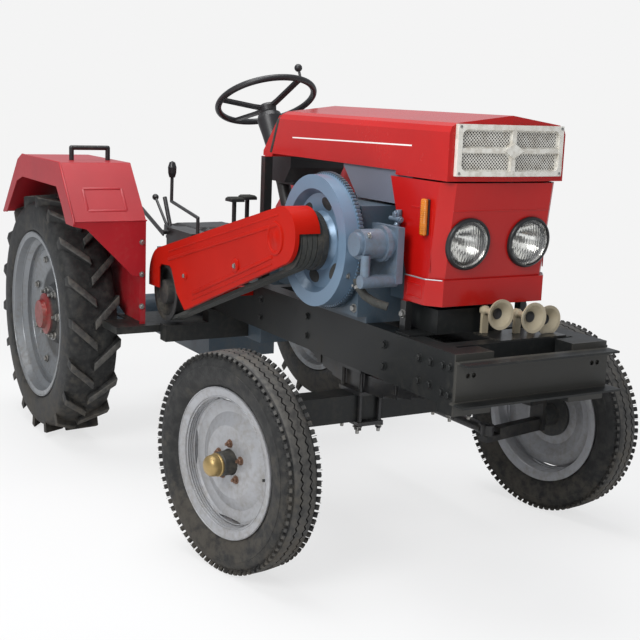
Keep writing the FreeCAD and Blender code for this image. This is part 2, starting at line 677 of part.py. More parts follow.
def knuckle(name, side):
    half = "(yoke_reach - 14)"
    plate_out = "(yoke_reach + yoke_plate)"
    lower_top = "beam_bottom - yoke_gap"
    lower_low = f"{lower_top} - lug_plate"
    upper_low = f"{BEAM_TOP} + yoke_gap"
    upper_top = f"{upper_low} + lug_plate"
    foot = f"{HUB_FRONT} - 43"
    square = (f"-{half}", half)
    pieces = [box("YokePlate", square, outward(side, "yoke_reach", plate_out), (foot, upper_top)),
              box("YokeLower", square, outward(side, f"-{half}", plate_out), (lower_low, lower_top)),
              box("YokeUpper", square, outward(side, f"-{half}", plate_out), (upper_low, upper_top)),
              rod("Kingpin", "z", "kingpin_radius", ("0", "0", lower_low), f"{upper_top} - ({lower_low}) + 12")]
    spindle_length = f"{WHEEL_OUT} + front_disc_offset + hub_nose - 22 - {plate_out}"
    start = plate_out if side > 0 else f"-({plate_out} + {spindle_length})"
    pieces.append(rod("Spindle", "y", "spindle_radius", ("0", start, HUB_FRONT), spindle_length))
    arm = box("TrackArm", ("-(track_arm + 16)", "0"), ("-14", "14"), (lower_low, lower_top))
    stud = rod("TrackStud", "z", "stud_radius", ("-track_arm", "0", lower_top), "2 * tie_rod_radius + 14")
    pieces += [arm, stud]
    if side > 0:
        pieces.append(box("DragArm", ("-18", "18"), ("-(drag_arm - 46)", "yoke_reach + 1"),
                          (foot, f"{foot} + drag_arm_depth")))
        pieces.append(box("DragTip", ("-18", "18"), ("-(drag_arm + 20)", "-(drag_arm - 47)"),
                          (foot, f"{foot} + drag_arm_depth / 2 - 1")))
        pieces.append(rod("DragStud", "z", "stud_radius", ("0", "-drag_arm", f"{foot} + drag_arm_depth / 2 - 1"),
                          "2 * drag_link_radius + 4"))
    return steered(name, side, fuse(name, *pieces))


def rod_end(name, radius, thickness, at):
    """A round eye that stands on a stud."""
    return rod(name, "z", radius, at, thickness)


def steering_rods():
    arm_z = "(beam_bottom - yoke_gap)"
    eye_low = f"({arm_z} + 2)"
    eye_height = "(2 * tie_rod_radius + 4)"
    x = f"(front_axle_x - track_arm * cos(steer_rest))"
    swing = "track_arm * sin(steer_rest)"
    bar = rod("TieBar", "y", "tie_rod_radius",
              (x, f"-{KINGPIN} - {swing}", f"{eye_low} + {eye_height} / 2"), "kingpin_spread")
    eyes, bores = [], []
    for side, slack in ((-1, "fit"), (1, "0.6")):
        at = (x, f"{side} * {KINGPIN} - {swing}", eye_low)
        eyes.append(rod_end("TieEye", "stud_radius + 12", eye_height, at))
        bores.append(rod("TieBore", "z", f"stud_radius + {slack}", at, eye_height))
    node("tie_rod", cut("TieRod", fuse("TieShape", bar, *eyes), *bores))

    stud_x = "(front_axle_x + drag_arm * sin(steer_rest))"
    stud_y = f"({KINGPIN} - drag_arm * cos(steer_rest))"
    low = f"({HUB_FRONT} - 43 + drag_arm_depth / 2)"
    height = "(2 * drag_link_radius)"
    centre = f"({low} + {height} / 2)"
    shaft_x = "(front_axle_x - drop_arm_x)"
    tail_x = f"({stud_x} - drop_arm_x)"
    eye = rod("DragEye", "z", "stud_radius + 14", (stud_x, stud_y, low), height)
    bar = rod("DragBar", "x", "drag_link_radius", (f"{tail_x} + 48", stud_y, centre), "drop_arm_x - 72")
    neck = box("DragNeck", (f"{stud_x} - 30", stud_x), (f"{stud_y} - 15", f"{stud_y} + 15"), (low, f"{low} + {height}"))
    strap = box("DragStrap", (tail_x, f"{tail_x} + 60"), (f"{stud_y} - 10", f"{stud_y} + 10"),
                (f"{centre} - 14", f"{centre} + 14"))
    tail = rod("DragTail", "y", "22", (tail_x, f"{stud_y} - 10", centre), "24")
    bore = rod("DragBore", "z", "stud_radius + fit", (stud_x, stud_y, low), height)
    node("drag_link", cut("DragLink", fuse("DragShape", eye, bar, neck, strap, tail), bore))

    arm_out = f"({stud_y} - 10 - drop_gap)"
    plate = slab("DropPlate", "XZ_Plane",
                 lambda sketch: capsule(sketch, (shaft_x, "drop_arm_z"), "26", (tail_x, centre), "18"),
                 arm_out, "10")
    boss = rod("DropBoss", "y", "14", (tail_x, f"{arm_out} - 1", centre), "5")
    shaft = rod("DropShaft", "y", "drop_shaft_radius", (shaft_x, "150", "drop_arm_z"), f"{arm_out} - 150")
    node("drop_arm", fuse("DropArm", plate, boss, shaft))


# ---------------------------------------------------------------------------------------
# Wheels
# ---------------------------------------------------------------------------------------
def front_wheel(name, side):
    """Rim with its disc, tyre and hub, drawn about Z with the outside upwards."""
    rim, half, disc, wall = "front_rim_diameter / 2", "front_rim_width / 2", "front_disc_offset", "rim_wall"
    profile = [(rim, f"-{half}"), (rim, f"-{half} + {wall}"), (f"{rim} - 14", f"-{half} + 7"),
               (f"{rim} - 24", f"-{half} + 11"), (f"{rim} - 27", "-12"), (f"{rim} - 27", "12"),
               (f"{rim} - 24", f"{half} - 11"), (f"{rim} - 14", f"{half} - 7"), (rim, f"{half} - {wall}"),
               (rim, half), (f"{rim} - 16", f"{half} - 2"), (f"{rim} - 30", f"{half} - 6"),
               (f"{rim} - 32", f"{disc} - 4"), (f"{rim} - 40", f"{disc} - 6"), (f"{rim} - 48", f"{disc} - 12"),
               ("150", f"{disc} - 16"), ("110", disc), ("40", disc), ("40", f"{disc} - {wall}"),
               ("108", f"{disc} - {wall}"), ("149", f"{disc} - 16 - {wall}"),
               (f"{rim} - 46", f"{disc} - 12 - {wall}"), (f"{rim} - 38", f"{disc} - 6 - {wall}"),
               (f"{rim} - 32", f"{disc} - 7 - {wall}"), (f"{rim} - 32", f"-{half} + 10"),
               (f"{rim} - 30", f"-{half} + 6"), (f"{rim} - 16", f"-{half} + 2")]
    disc_form = lathe(f"FrontRim{name}", profile)
    bottom = f"{disc} - 30"
    field = rod(f"DiscField{name}", "z", f"{rim} - 35", ("0", "0", bottom), "40")
    gaps = []
    for turn, (x, y) in enumerate(((1, 0), (0, 1), (-1, 0), (0, -1))):
        near, far = "disc_flat", f"{rim}"
        x_span = (near, far) if x > 0 else (f"-{far}", f"-{near}") if x else ("-120", "120")
        y_span = (near, far) if y > 0 else (f"-{far}", f"-{near}") if y else ("-120", "120")
        strip = box(f"DiscStrip{name}{turn}", x_span, y_span, (bottom, f"{bottom} + 40"))
        gaps.append(common(f"DiscGap{name}{turn}", field, strip))
    wheel = cut(f"FrontDisc{name}", disc_form, *gaps)

    edge, tread, bulge = "front_tyre_width / 2", "front_tyre_diameter / 2", f"({rim} + 46)"
    side_line = [(f"{bulge} + 10", edge), (f"{tread} - 22", f"{edge} - 4"), (f"{tread} - 7", f"{edge} - 12"),
                 (tread, f"{edge} - 28")]
    carcass = faceted_ring(f"FrontTyre{name}", 28, side_line)
    bores = bead_bores(f"FrontTyre{name}", 28, f"{rim} - 13.6", f"{rim} + 2.7", f"{half} - 7.3", edge)
    tyre = cut(f"FrontTyre{name}", carcass, *bores)

    face = f"({disc} - {wall})"
    inner = f"(yoke_reach + yoke_plate + 0.5 - {WHEEL_OUT})"
    nose = f"({disc} + hub_nose)"
    bore = "spindle_radius + fit"
    hub = lathe(f"FrontHub{name}",
                [(bore, inner), ("36", inner), ("40", f"{face} - 12"), ("hub_flange_radius", f"{face} - 12"),
                 ("hub_flange_radius", face), ("38", face), ("36", f"{nose} - 8"), ("30", nose),
                 ("24", f"{nose} + 6"), ("22", f"{nose} + 32"), ("0", f"{nose} + 36"),
                 ("0", f"{nose} - 20"), (bore, f"{nose} - 20")])
    turn = 90 if side < 0 else -90
    for piece, label in ((wheel, "wheel"), (tyre, "tyre"), (hub, "hub")):
        spun = Rotation(Vector(0, 0, 1), VALUE["steer_rest"]) * Rotation(Vector(1, 0, 0), turn)
        piece.Placement = FreeCAD.Placement(Vector(), spun)
        heading = "steer_rest"
        bind(piece, Placement__Base__x=f"{FRONT} + {-side} * {WHEEL_OUT} * sin({heading})",
             Placement__Base__y=f"{side} * ({KINGPIN} + {WHEEL_OUT} * cos({heading}))",
             Placement__Base__z=HUB_FRONT)
        node(f"front_{label}_{name}", piece)


def lug_row(name, side, lean, turn):
    """Slanted lugs of one half of the tread, from its middle to the shoulder."""
    edge, half = "(rear_tyre_width / 2 - 6)", "lug_width / 2"
    near, far = f"-{lean} * lug_slant / 2", f"{lean} * lug_slant / 2"
    outline = [(f"{near} - {half}", f"-{side} * 5"), (f"{near} + {half}", f"-{side} * 5"),
               (f"{far} + {half}", f"{side} * {edge}"), (f"{far} - {half}", f"{side} * {edge}")]
    root = "(rear_tyre_diameter / 2 - lug_height - 24)"
    face = "sqrt((rear_tyre_diameter / 2) ^ 2 - ((lug_slant + lug_width) / 2) ^ 2)"
    return ring_row(name, "YZ_Plane", outline, root, f"{face} - {root}", "lug_count", turn)


def rear_wheel(name, side):
    rim, half, disc, wall = "rear_rim_diameter / 2", "rear_rim_width / 2", "rear_disc_offset", "rim_wall"
    shaft_in = f"-(rear_track / 2 - gearbox_width / 2 - 60)"
    profile = [(rim, f"-{half}"), (rim, f"-{half} + {wall}"), (f"{rim} - 18", f"-{half} + 8"),
               (f"{rim} - 24", f"-{half} + 34"), (f"{rim} - 40", f"-{half} + 50"),
               (f"{rim} - 40", f"{half} - 50"), (f"{rim} - 24", f"{half} - 34"), (f"{rim} - 18", f"{half} - 8"),
               (rim, f"{half} - {wall}"), (rim, half), (f"{rim} - 22", f"{half} - 3"),
               (f"{rim} - 30", f"{half} - 34"), (f"{rim} - 46", f"{half} - 52"), (f"{rim} - 46", disc),
               (f"{rim} - 76", f"{disc} - 2"), ("190", f"{disc} - 24"), ("128", f"{disc} - 24"),
               ("112", disc), ("88", disc), ("84", f"{disc} + 26"), ("62", f"{disc} + 34"),
               ("56", f"{disc} + 50"), ("0", f"{disc} + 50"), ("0", shaft_in), ("half_shaft_radius", shaft_in),
               ("half_shaft_radius", "-50"), ("92", "-50"), ("92", f"{disc} - 30 - {wall}"),
               ("190", f"{disc} - 24 - {wall}"), (f"{rim} - 76", f"{disc} - 2 - {wall}"),
               (f"{rim} - 46", f"{disc} - 2 - {wall}"), (f"{rim} - 46", f"-{half} + 52"),
               (f"{rim} - 30", f"-{half} + 34"), (f"{rim} - 22", f"-{half} + 3")]
    wheel = lathe(f"RearRim{name}", profile)

    edge, tread = "rear_tyre_width / 2", "(rear_tyre_diameter / 2 - lug_height)"
    side_line = [(f"{tread} - 75", edge), (f"{tread} - 17", f"{edge} - 6"), (tread, f"{edge} - 43")]
    carcass = faceted_ring(f"RearTyre{name}", 36, side_line)
    bores = bead_bores(f"RearTyre{name}", 36, f"{rim} - 17.6", f"{rim} + 2.5", f"{half} - 8.3", edge)
    rows = [lug_row(f"LugsOuter{name}", 1, -side, "0"), lug_row(f"LugsInner{name}", -1, -side, "180 / lug_count")]
    tyre = cut(f"RearTyre{name}", fuse(f"RearTyreShape{name}", carcass, *rows), *bores)

    turn = "90" if side < 0 else "-90"
    for piece, label in ((wheel, "wheel"), (tyre, "tyre")):
        place(piece, REAR, f"{side} * rear_track / 2", HUB_REAR, axis=(1, 0, 0), angle=turn)
        node(f"rear_{label}_{name}", piece)


# ---------------------------------------------------------------------------------------
# Engine, belt drive and gearbox
# ---------------------------------------------------------------------------------------
def engine():
    right, left = "-block_side", "(block_width - block_side)"
    base, top = f"({RAIL_TOP} + mount_height)", f"({RAIL_TOP} + mount_height + block_height)"
    feet = box("EngineFeet", (f"{FRONT} - 190", f"{FRONT} + 150"), (f"-{RAIL_OUT}", RAIL_OUT),
               (RAIL_TOP, base))
    case = box("Crankcase", (f"{FRONT} - 230", f"{FRONT} + 150"), (right, left), (base, top))
    barrel = box("Barrel", (f"{FRONT} + 150", f"{FRONT} + 290"), ("-(hood_width / 2 - 20)", f"{left} - 20"),
                 (f"{base} + 60", f"{top} - 50"))
    head = box("Head", (f"{FRONT} + 290", f"{FRONT} + 335"), ("-(hood_width / 2 - 30)", f"{left} - 10"),
               (f"{base} + 80", f"{top} - 70"))
    bore = rod("CrankBore", "y", "crank_radius + fit", (CRANK_X, right, "crank_z"), "40")
    block = cut("Engine", fuse("EngineShape", feet, case, barrel, head), bore)
    node("engine_block", block)

    tank_low, tank_high = f"({top} + 8)", "(hood_bottom + 120)"
    tank = slab("FuelTankBody", "XZ_Plane",
                [(f"{FRONT} - 138", tank_high), (f"{FRONT} - 138", f"{tank_low} + 92"),
                 (f"{FRONT} - 48", tank_low), (f"{FRONT} + 250", tank_low), (f"{FRONT} + 250", tank_high)],
                "hood_width / 2 - 50", "hood_width - 60")
    saddles = [box("TankSaddle", (f"{FRONT} + {x}", f"{FRONT} + {x} + 30"), ("-120", "100"), (top, tank_low))
               for x in (0, 130)]
    node("fuel_tank", fuse("FuelTank", tank, *saddles))

    pump_x, pump_z, pump_y = f"({FRONT} + 240)", "(crank_z + 21)", "(flywheel_face + 8)"
    body = rod("PumpBody", "y", "43", (pump_x, f"-({pump_y} - 14)", pump_z), f"{pump_y} - 14 - 250")
    nose = rod("PumpNose", "y", "34", (pump_x, f"-{pump_y}", pump_z), "20")
    ring = rod("PumpRing", "y", "52", (pump_x, "-292", pump_z), "14")
    flange = box("PumpFlange", (f"{FRONT} + 150", f"{FRONT} + 290"), ("-262", "-240"),
                 (f"{pump_z} - 112", f"{pump_z} + 50"))
    pipe = rod("PumpPipe", "z", "14", (f"{pump_x} + 28", f"-({pump_y} - 24)", f"{pump_z} - 98"), "70")
    foot = rod("PumpFoot", "y", "19", (f"{pump_x} + 28", f"-({pump_y} - 8)", f"{pump_z} - 104"), f"{pump_y} - 8 - 250")
    node("coolant_pump", fuse("Pump", body, nose, ring, flange, pipe, foot))


def exhaust():
    left = "(block_width - block_side)"
    x, z = f"({FRONT} + 120)", "(crank_z + 20)"
    drum = rod("SilencerDrum", "x", "45", (f"{x} - 300", f"{left} + 62", z), "300")
    neck = rod("SilencerNeck", "y", "20", (f"{x} - 30", left, z), "40")
    tail = rod("SilencerTail", "x", "16", (f"{x} - 420", f"{left} + 62", z), "130")
    cleaner = rod("CleanerCan", "z", "48", (f"{x} - 160", f"{left} + 70", f"{z} - 205"), "130")
    duct = rod("CleanerDuct", "y", "20", (f"{x} - 160", left, f"{z} - 140"), "40")
    node("exhaust_silencer", fuse("Silencer", drum, neck, tail))
    node("air_cleaner", fuse("Cleaner", cleaner, duct))


def flywheel():
    width, rim = "flywheel_width", "flywheel_radius"
    wheel = lathe("FlywheelDisc",
                  [("0", "-24"), ("crank_radius", "-24"), ("crank_radius", "0"), (f"{rim} - 8", "0"),
                   (f"{rim} - 8", "2"), (f"{rim} + ring_tooth", "2"), (f"{rim} + ring_tooth", "14"),
                   (rim, "14"), (rim, width), (f"{rim} - 42", width), (f"{rim} - 56", f"{width} - 26"),
                   ("90", f"{width} - 34"), ("70", f"{width} - 8"), ("0", f"{width} - 8")])
    place(wheel, CRANK_X, f"-(flywheel_face - {width})", "crank_z", axis=(1, 0, 0), angle="90")
    node("flywheel", wheel)

    groove, start = f"(crank_pulley_radius - belt_thickness - belt_seat)", f"({PULLEY_IN} - flywheel_face + 8)"
    pulley = lathe("CrankPulleyDisc",
                   [("0", "0"), ("crank_flange_radius", "0"), ("crank_flange_radius", f"{start} - 14"),
                    ("crank_pulley_radius", f"{start} - 14"), ("crank_pulley_radius", f"{start} + 4"),
                    (groove, f"{start} + 6"), (groove, f"{start} + pulley_width - 6"),
                    ("crank_pulley_radius", f"{start} + pulley_width - 4"),
                    ("crank_pulley_radius", f"{start} + pulley_width"), ("40", f"{start} + pulley_width"),
                    ("36", f"{start} + pulley_width - 14"), ("0", f"{start} + pulley_width - 14")])
    place(pulley, CRANK_X, f"-(flywheel_face - 8)", "crank_z", axis=(1, 0, 0), angle="90")
    node("crank_pulley", pulley)


def belt_drive():
    wide = "pulley_width"
    shaft_length = f"({PULLEY_IN} - gearbox_width / 2 + 30)"
    groove = "(clutch_pulley_radius - belt_thickness - belt_seat)"
    pulley = lathe("ClutchPulleyDisc",
                   [("0", f"-{shaft_length}"), ("clutch_shaft_radius", f"-{shaft_length}"),
                    ("clutch_shaft_radius", "0"), ("clutch_pulley_radius", "0"), ("clutch_pulley_radius", "4"),
                    (groove, "6"), (groove, f"{wide} - 6"), ("clutch_pulley_radius", f"{wide} - 4"),
                    ("clutch_pulley_radius", wide), ("clutch_pulley_radius - 18", wide),
                    ("clutch_pulley_radius - 22", f"{wide} - 22"), ("48", f"{wide} - 22"),
                    ("44", f"{wide} + 6"), ("0", f"{wide} + 6")])
    place(pulley, CLUTCH_X, f"-{PULLEY_IN}", "clutch_z", axis=(1, 0, 0), angle="90")
    node("clutch_pulley", pulley)

    belts = []
    outer = ((CRANK_X, "crank_z"), "crank_pulley_radius", (CLUTCH_X, "clutch_z"), "clutch_pulley_radius")
    inner = (outer[0], f"{outer[1]} - belt_thickness", outer[2], f"{outer[3]} - belt_thickness")
    for index in range(3):
        start = f"-({PULLEY_IN} + 6.5 + {index} * 17)"
        ring = slab(f"BeltOuter{index}", "XZ_Plane", lambda sketch: capsule(sketch, *outer), start, "15")
        hole = slab(f"BeltInner{index}", "XZ_Plane", lambda sketch: capsule(sketch, *inner), start, "15")
        belts.append(cut(f"Belt{index}", ring, hole))
    node("drive_belts", together("Belts", *belts))


def belt_cover():
    front, rear = f"({CRANK_X} + cover_nose)", f"({CLUTCH_X} - cover_heel)"
    top, low = "(crank_z + cover_rise)", "(crank_z - 41)"
    outline = [(rear, "clutch_z - 151", "20"), (front, low, "cover_front_radius"), (front, top, "cover_front_radius"),
               (rear, "clutch_z + 140", "cover_rear_radius")]
    body = slab("CoverPressing", "XZ_Plane", lambda sketch: rounded(sketch, outline),
                f"-{PULLEY_IN}", "cover_depth")
    pad = body.Tip
    doc.recompute()
    faces = pad.Shape.Faces
    mouth = max(range(len(faces)), key=lambda index: faces[index].CenterOfMass.y)
    shell = body.newObject("PartDesign::Thickness", "CoverThickness")
    shell.Base = (pad, [f"Face{mouth + 1}"])
    bind(shell, Value="sheet")
    shell.Reversed = True
    body.Tip = shell
    heel = slab("CoverHeel", "XZ_Plane",
                [(f"{CLUTCH_X} - 200", "clutch_z + 10"), (f"{CLUTCH_X} - 7", "clutch_z + 15"),
                 (f"{CLUTCH_X} - 7", "clutch_z + 91"), (f"{CLUTCH_X} + 10", "clutch_z + 106"),
                 (f"{CLUTCH_X} + 90", "clutch_z + 111"), (f"{CLUTCH_X} + 108", "clutch_z + 102"),
                 (f"{CLUTCH_X} + 158", "clutch_z + 21"), (f"{CLUTCH_X} + 235", "clutch_z - 32"),
                 (f"{CLUTCH_X} + 235", "clutch_z - 190"), (f"{CLUTCH_X} - 200", "clutch_z - 190")],
                f"-({PULLEY_IN} - 5)", "cover_depth + 10")
    fall = "(crank_z - clutch_z + 110) / (clutch_x - crank_x + cover_nose + cover_heel)"
    shallow = slab("CoverLip", "XZ_Plane",
                   [(f"{front} + 10", f"{top} - 99"), (f"{front} - 20", f"{top} - 99"), (f"{front} - 20", f"{low} + 60"),
                    (f"{rear} + 30", f"{low} + 60 - {fall} * ({front} - {rear})"), (f"{rear} + 30", "clutch_z + 66"),
                    (f"{rear} - 10", "clutch_z + 66"), (f"{rear} - 10", "clutch_z - 200"),
                    (f"{front} + 10", "clutch_z - 200")],
                   f"-({PULLEY_IN} - 5)", "cover_depth + 5 - cover_lip")
    stay_x = f"({CLUTCH_X} + cover_stay)"
    stay = box("CoverStay", (stay_x, f"{stay_x} + 20"), ("-(cover_face - sheet)", f"-{RAIL_OUT}"),
               (f"{RAIL_TOP} - 40", f"{RAIL_TOP} - 8"))
    node("belt_cover", fuse("Cover", cut("CoverShell", body, heel, shallow), stay))


def gearbox():
    half = "gearbox_width / 2"
    nose = box("GearNose", (f"{FRONT} - gearbox_front - 420", f"{FRONT} - gearbox_front"), (f"-{half}", half),
               ("gearbox_bottom + 60", "gearbox_top"))
    back = box("GearBack", (f"{REAR} - 170", f"{FRONT} - gearbox_front - 420"), (f"-{half} - 20", f"{half} + 20"),
               ("gearbox_bottom - 90", "gearbox_top - 60"))
    bore = rod("ClutchBore", "y", "clutch_shaft_radius + fit", (CLUTCH_X, f"-{half}", "clutch_z"), "60")
    tubes = []
    for side in SIDES.values():
        start = f"{half}" if side > 0 else f"-(rear_track / 2 - 62)"
        length = f"rear_track / 2 - 62 - {half}"
        tubes.append(rod("AxleTube", "y", "axle_tube_radius", (REAR, start, HUB_REAR), length))
        end = "rear_track / 2 - 80" if side > 0 else "-(rear_track / 2 - 62)"
        tubes.append(rod("AxleFlange", "y", "axle_tube_radius + 24", (REAR, end, HUB_REAR), "18"))
    bores = []
    for side in SIDES.values():
        start = f"({half} + 50)" if side > 0 else "-(rear_track / 2 - 62)"
        bores.append(rod("ShaftBore", "y", "half_shaft_radius + fit", (REAR, start, HUB_REAR),
                         f"rear_track / 2 - 62 - {half} - 50"))
    node("gearbox", cut("Gearbox", nose, bore))
    node("rear_axle_housing", cut("AxleHousing", fuse("AxleShape", back, *tubes), *bores))

    bar = box("DrawbarPlate", (f"{REAR} - drawbar_reach - 40", f"{REAR} + 60"), ("-40", "40"),
              ("drawbar_z - 25", "drawbar_z"))
    post = box("DrawbarPost", (f"{REAR} - 170 - 20", f"{REAR} - 170"), ("-50", "50"),
               ("drawbar_z", "gearbox_bottom + 120"))
    shelf = box("DrawbarShelf", (f"{REAR} - 100", f"{REAR} + 60"), ("-40", "40"),
                ("drawbar_z", "gearbox_bottom - 90"))
    hole = rod("DrawbarHole", "z", "drawbar_pin", (f"{REAR} - drawbar_reach", "0", "drawbar_z - 25"), "25")
    node("drawbar", cut("Drawbar", fuse("DrawbarShape", bar, post, shelf), hole))


# ---------------------------------------------------------------------------------------
# Front bodywork
# ---------------------------------------------------------------------------------------
def hood_prisms(name, inset, low):
    """The hood's outer form, or the space inside it, from its end view, its plan and its slanted back."""
    half = f"(hood_width / 2 - {inset})"
    shoulder = f"(hood_shoulder - {inset})"
    end_view = [(f"-{half}", low), (half, low), (half, f"{shoulder} - hood_round"),
                (f"{half} - 0.3 * hood_round", f"{shoulder} - 0.3 * hood_round"),
                (f"{half} - hood_round", f"{shoulder} + 2"), ("0", f"{shoulder} + hood_crown"),
                (f"-({half} - hood_round)", f"{shoulder} + 2"),
                (f"-({half} - 0.3 * hood_round)", f"{shoulder} - 0.3 * hood_round"),
                (f"-{half}", f"{shoulder} - hood_round")]
    rear = f"{FRONT} - hood_rear - hood_slant"
    if inset != "0":
        rear += " - 20"
    corner = f"{FRONT} + hood_front - {inset}"
    plan = [(rear, f"-hood_width"), (corner, f"-hood_width / 2"), (f"{corner} + hood_peak", "0"),
            (corner, "hood_width / 2"), (rear, "hood_width")]
    end = slab(f"{name}End", "YZ_Plane", end_view, rear, "hood_rear + hood_slant + hood_front + 60")
    top = slab(f"{name}Plan", "XY_Plane", plan, low, "260")
    return common(name, end, top)


def hood():
    outside = hood_prisms("HoodOutside", "0", "hood_bottom")
    inside = hood_prisms("HoodInside", "sheet", "hood_bottom - 1")
    opening = box("GrilleOpening", (f"{FRONT} + hood_front - 30", f"{FRONT} + hood_front + 30"),
                  ("-(grille_width / 2 - 10)", "grille_width / 2 - 10"),
                  ("grille_bottom + 10", "grille_bottom + grille_height - 10"))
    top, low = "(hood_shoulder + hood_crown + 5)", "(hood_bottom - 5)"
    slope = "hood_slant / (hood_shoulder - hood_bottom)"
    back = slab("HoodBack", "XZ_Plane",
                [(f"{FRONT} - hood_rear - hood_slant - 40", low), (f"{FRONT} - hood_rear - hood_slant - 5 * {slope}", low),
                 (f"{FRONT} - hood_rear + (hood_crown + 5) * {slope}", top),
                 (f"{FRONT} - hood_rear - hood_slant - 40", top)], "hood_width", "2 * hood_width")
    step = box("HoodStep", (f"{FRONT} - hood_rear - hood_slant - 5", f"{FRONT} + hood_step_x"),
               ("-hood_width", "hood_width"), (low, "hood_bottom + hood_step"))
    knuckles = []
    for y in (-130, 90):
        knuckles.append(rod("HoodKnuckle", "y", "hinge_radius + 5", (HINGE_X, f"{y}", HINGE_Z), "40"))
        knuckles.append(box("HoodLeaf", (HINGE_X, f"{HINGE_X} + 54"), (f"{y}", f"{y} + 40"),
                            (f"{HINGE_Z} + 6", f"{HINGE_Z} + 12")))
        knuckles.append(box("HoodRiser", (f"{HINGE_X} + 26", f"{HINGE_X} + 50"),
                            (f"{y}", f"{y} + 40"), (f"{HINGE_Z} + 12", "hood_shoulder + 6")))
    holes = [rod("HoodPinHole", "y", "hinge_radius + fit", (HINGE_X, f"{y}", HINGE_Z), "40") for y in (-130, 90)]
    shell = cut("HoodShell", outside, inside, opening, back, step)
    node("hood", cut("Hood", fuse("HoodShape", shell, *knuckles), *holes))

    half, low, high = "grille_width / 2", "grille_bottom", "(grille_bottom + grille_height)"
    corner = f"({FRONT} + hood_front)"
    slope = "hood_peak / (hood_width / 2)"
    edge = f"({corner} + hood_peak - {slope} * {half})"

    def layer(name, reach, near, far, foot, height):
        """A shallow V across the front, reach from the middle, between two depths."""
        side = f"({corner} + hood_peak - {slope} * {reach})"
        peak = f"({corner} + hood_peak)"
        plan = [(f"{side} + {near}", f"-({reach})"), (f"{peak} + {near}", "0"), (f"{side} + {near}", reach),
                (f"{side} + {far}", reach), (f"{peak} + {far}", "0"), (f"{side} + {far}", f"-({reach})")]
        return slab(name, "XY_Plane", plan, foot, height)

    band = layer("GrilleBand", half, "0", "grille_depth", low, "grille_height")
    frame_hole = slab("GrilleHollow", "YZ_Plane",
                      lambda sketch: rounded(sketch, [(f"-({half} - grille_rim)", f"{low} + grille_rim", "18"),
                                                      (f"{half} - grille_rim", f"{low} + grille_rim", "18"),
                                                      (f"{half} - grille_rim", f"{high} - grille_rim", "18"),
                                                      (f"-({half} - grille_rim)", f"{high} - grille_rim", "18")]),
                      f"{corner} - 30", "70")
    inner = f"({half} - grille_rim + 1)"
    panel = layer("GrillePanel", inner, "-2", "4", f"{low} + grille_rim - 1", "grille_height - 2 * grille_rim + 2")
    bar = layer("GrilleBar", inner, "2", "grille_depth - 2", f"{low} + grille_height / 2 - 6", "12")
    rib = box("GrilleRib", (f"{corner} + hood_peak", f"{corner} + hood_peak + grille_depth - 1"), ("-7", "7"),
              (f"{low} + grille_rim - 1", f"{high} - grille_rim + 1"))
    badge = slab("GrilleBadge", "YZ_Plane",
                 [("-34", f"{low} + grille_height / 2"), ("0", f"{low} + grille_height / 2 - 21"),
                  ("34", f"{low} + grille_height / 2"), ("0", f"{low} + grille_height / 2 + 21")],
                 f"{corner} + hood_peak", "grille_depth + 2")
    node("grille", fuse("Grille", cut("GrilleFrame", band, frame_hole), panel, bar, rib, badge))


def panel_form(name, inset):
    """The front panel above its ledge: raked back, with flattened front corners."""
    half = f"(hood_width / 2 - {inset})"
    drop = "(panel_top - panel_ledge)"
    lean = f"(panel_rear_bottom - panel_rear_top) * {drop} / (panel_top - panel_bottom)"
    back = "0" if inset == "0" else "6"
    rings = []
    for height, rear, front in ((f"panel_top + {back}", f"{FRONT} + panel_rear_top - {back}", f"{FRONT} + hood_front - {inset}"),
                                (f"panel_ledge - {back}", f"{FRONT} + panel_rear_top - {back} + {lean}",
                                 f"{FRONT} + hood_front - {inset} - panel_rake")):
        corners = [(rear, f"-{half}"), (f"{front} - panel_chamfer", f"-{half}"), (front, f"-({half} - panel_chamfer)"),
                   (front, f"{half} - panel_chamfer"), (f"{front} - panel_chamfer", half), (rear, half)]
        ring = doc.addObject("Sketcher::SketchObject", f"{name}Ring")
        polygon(ring, corners)
        rings.append(place(ring, z=height))
    form = doc.addObject("Part::Loft", name)
    form.Sections = rings
    form.Solid = True
    form.Ruled = True
    return form


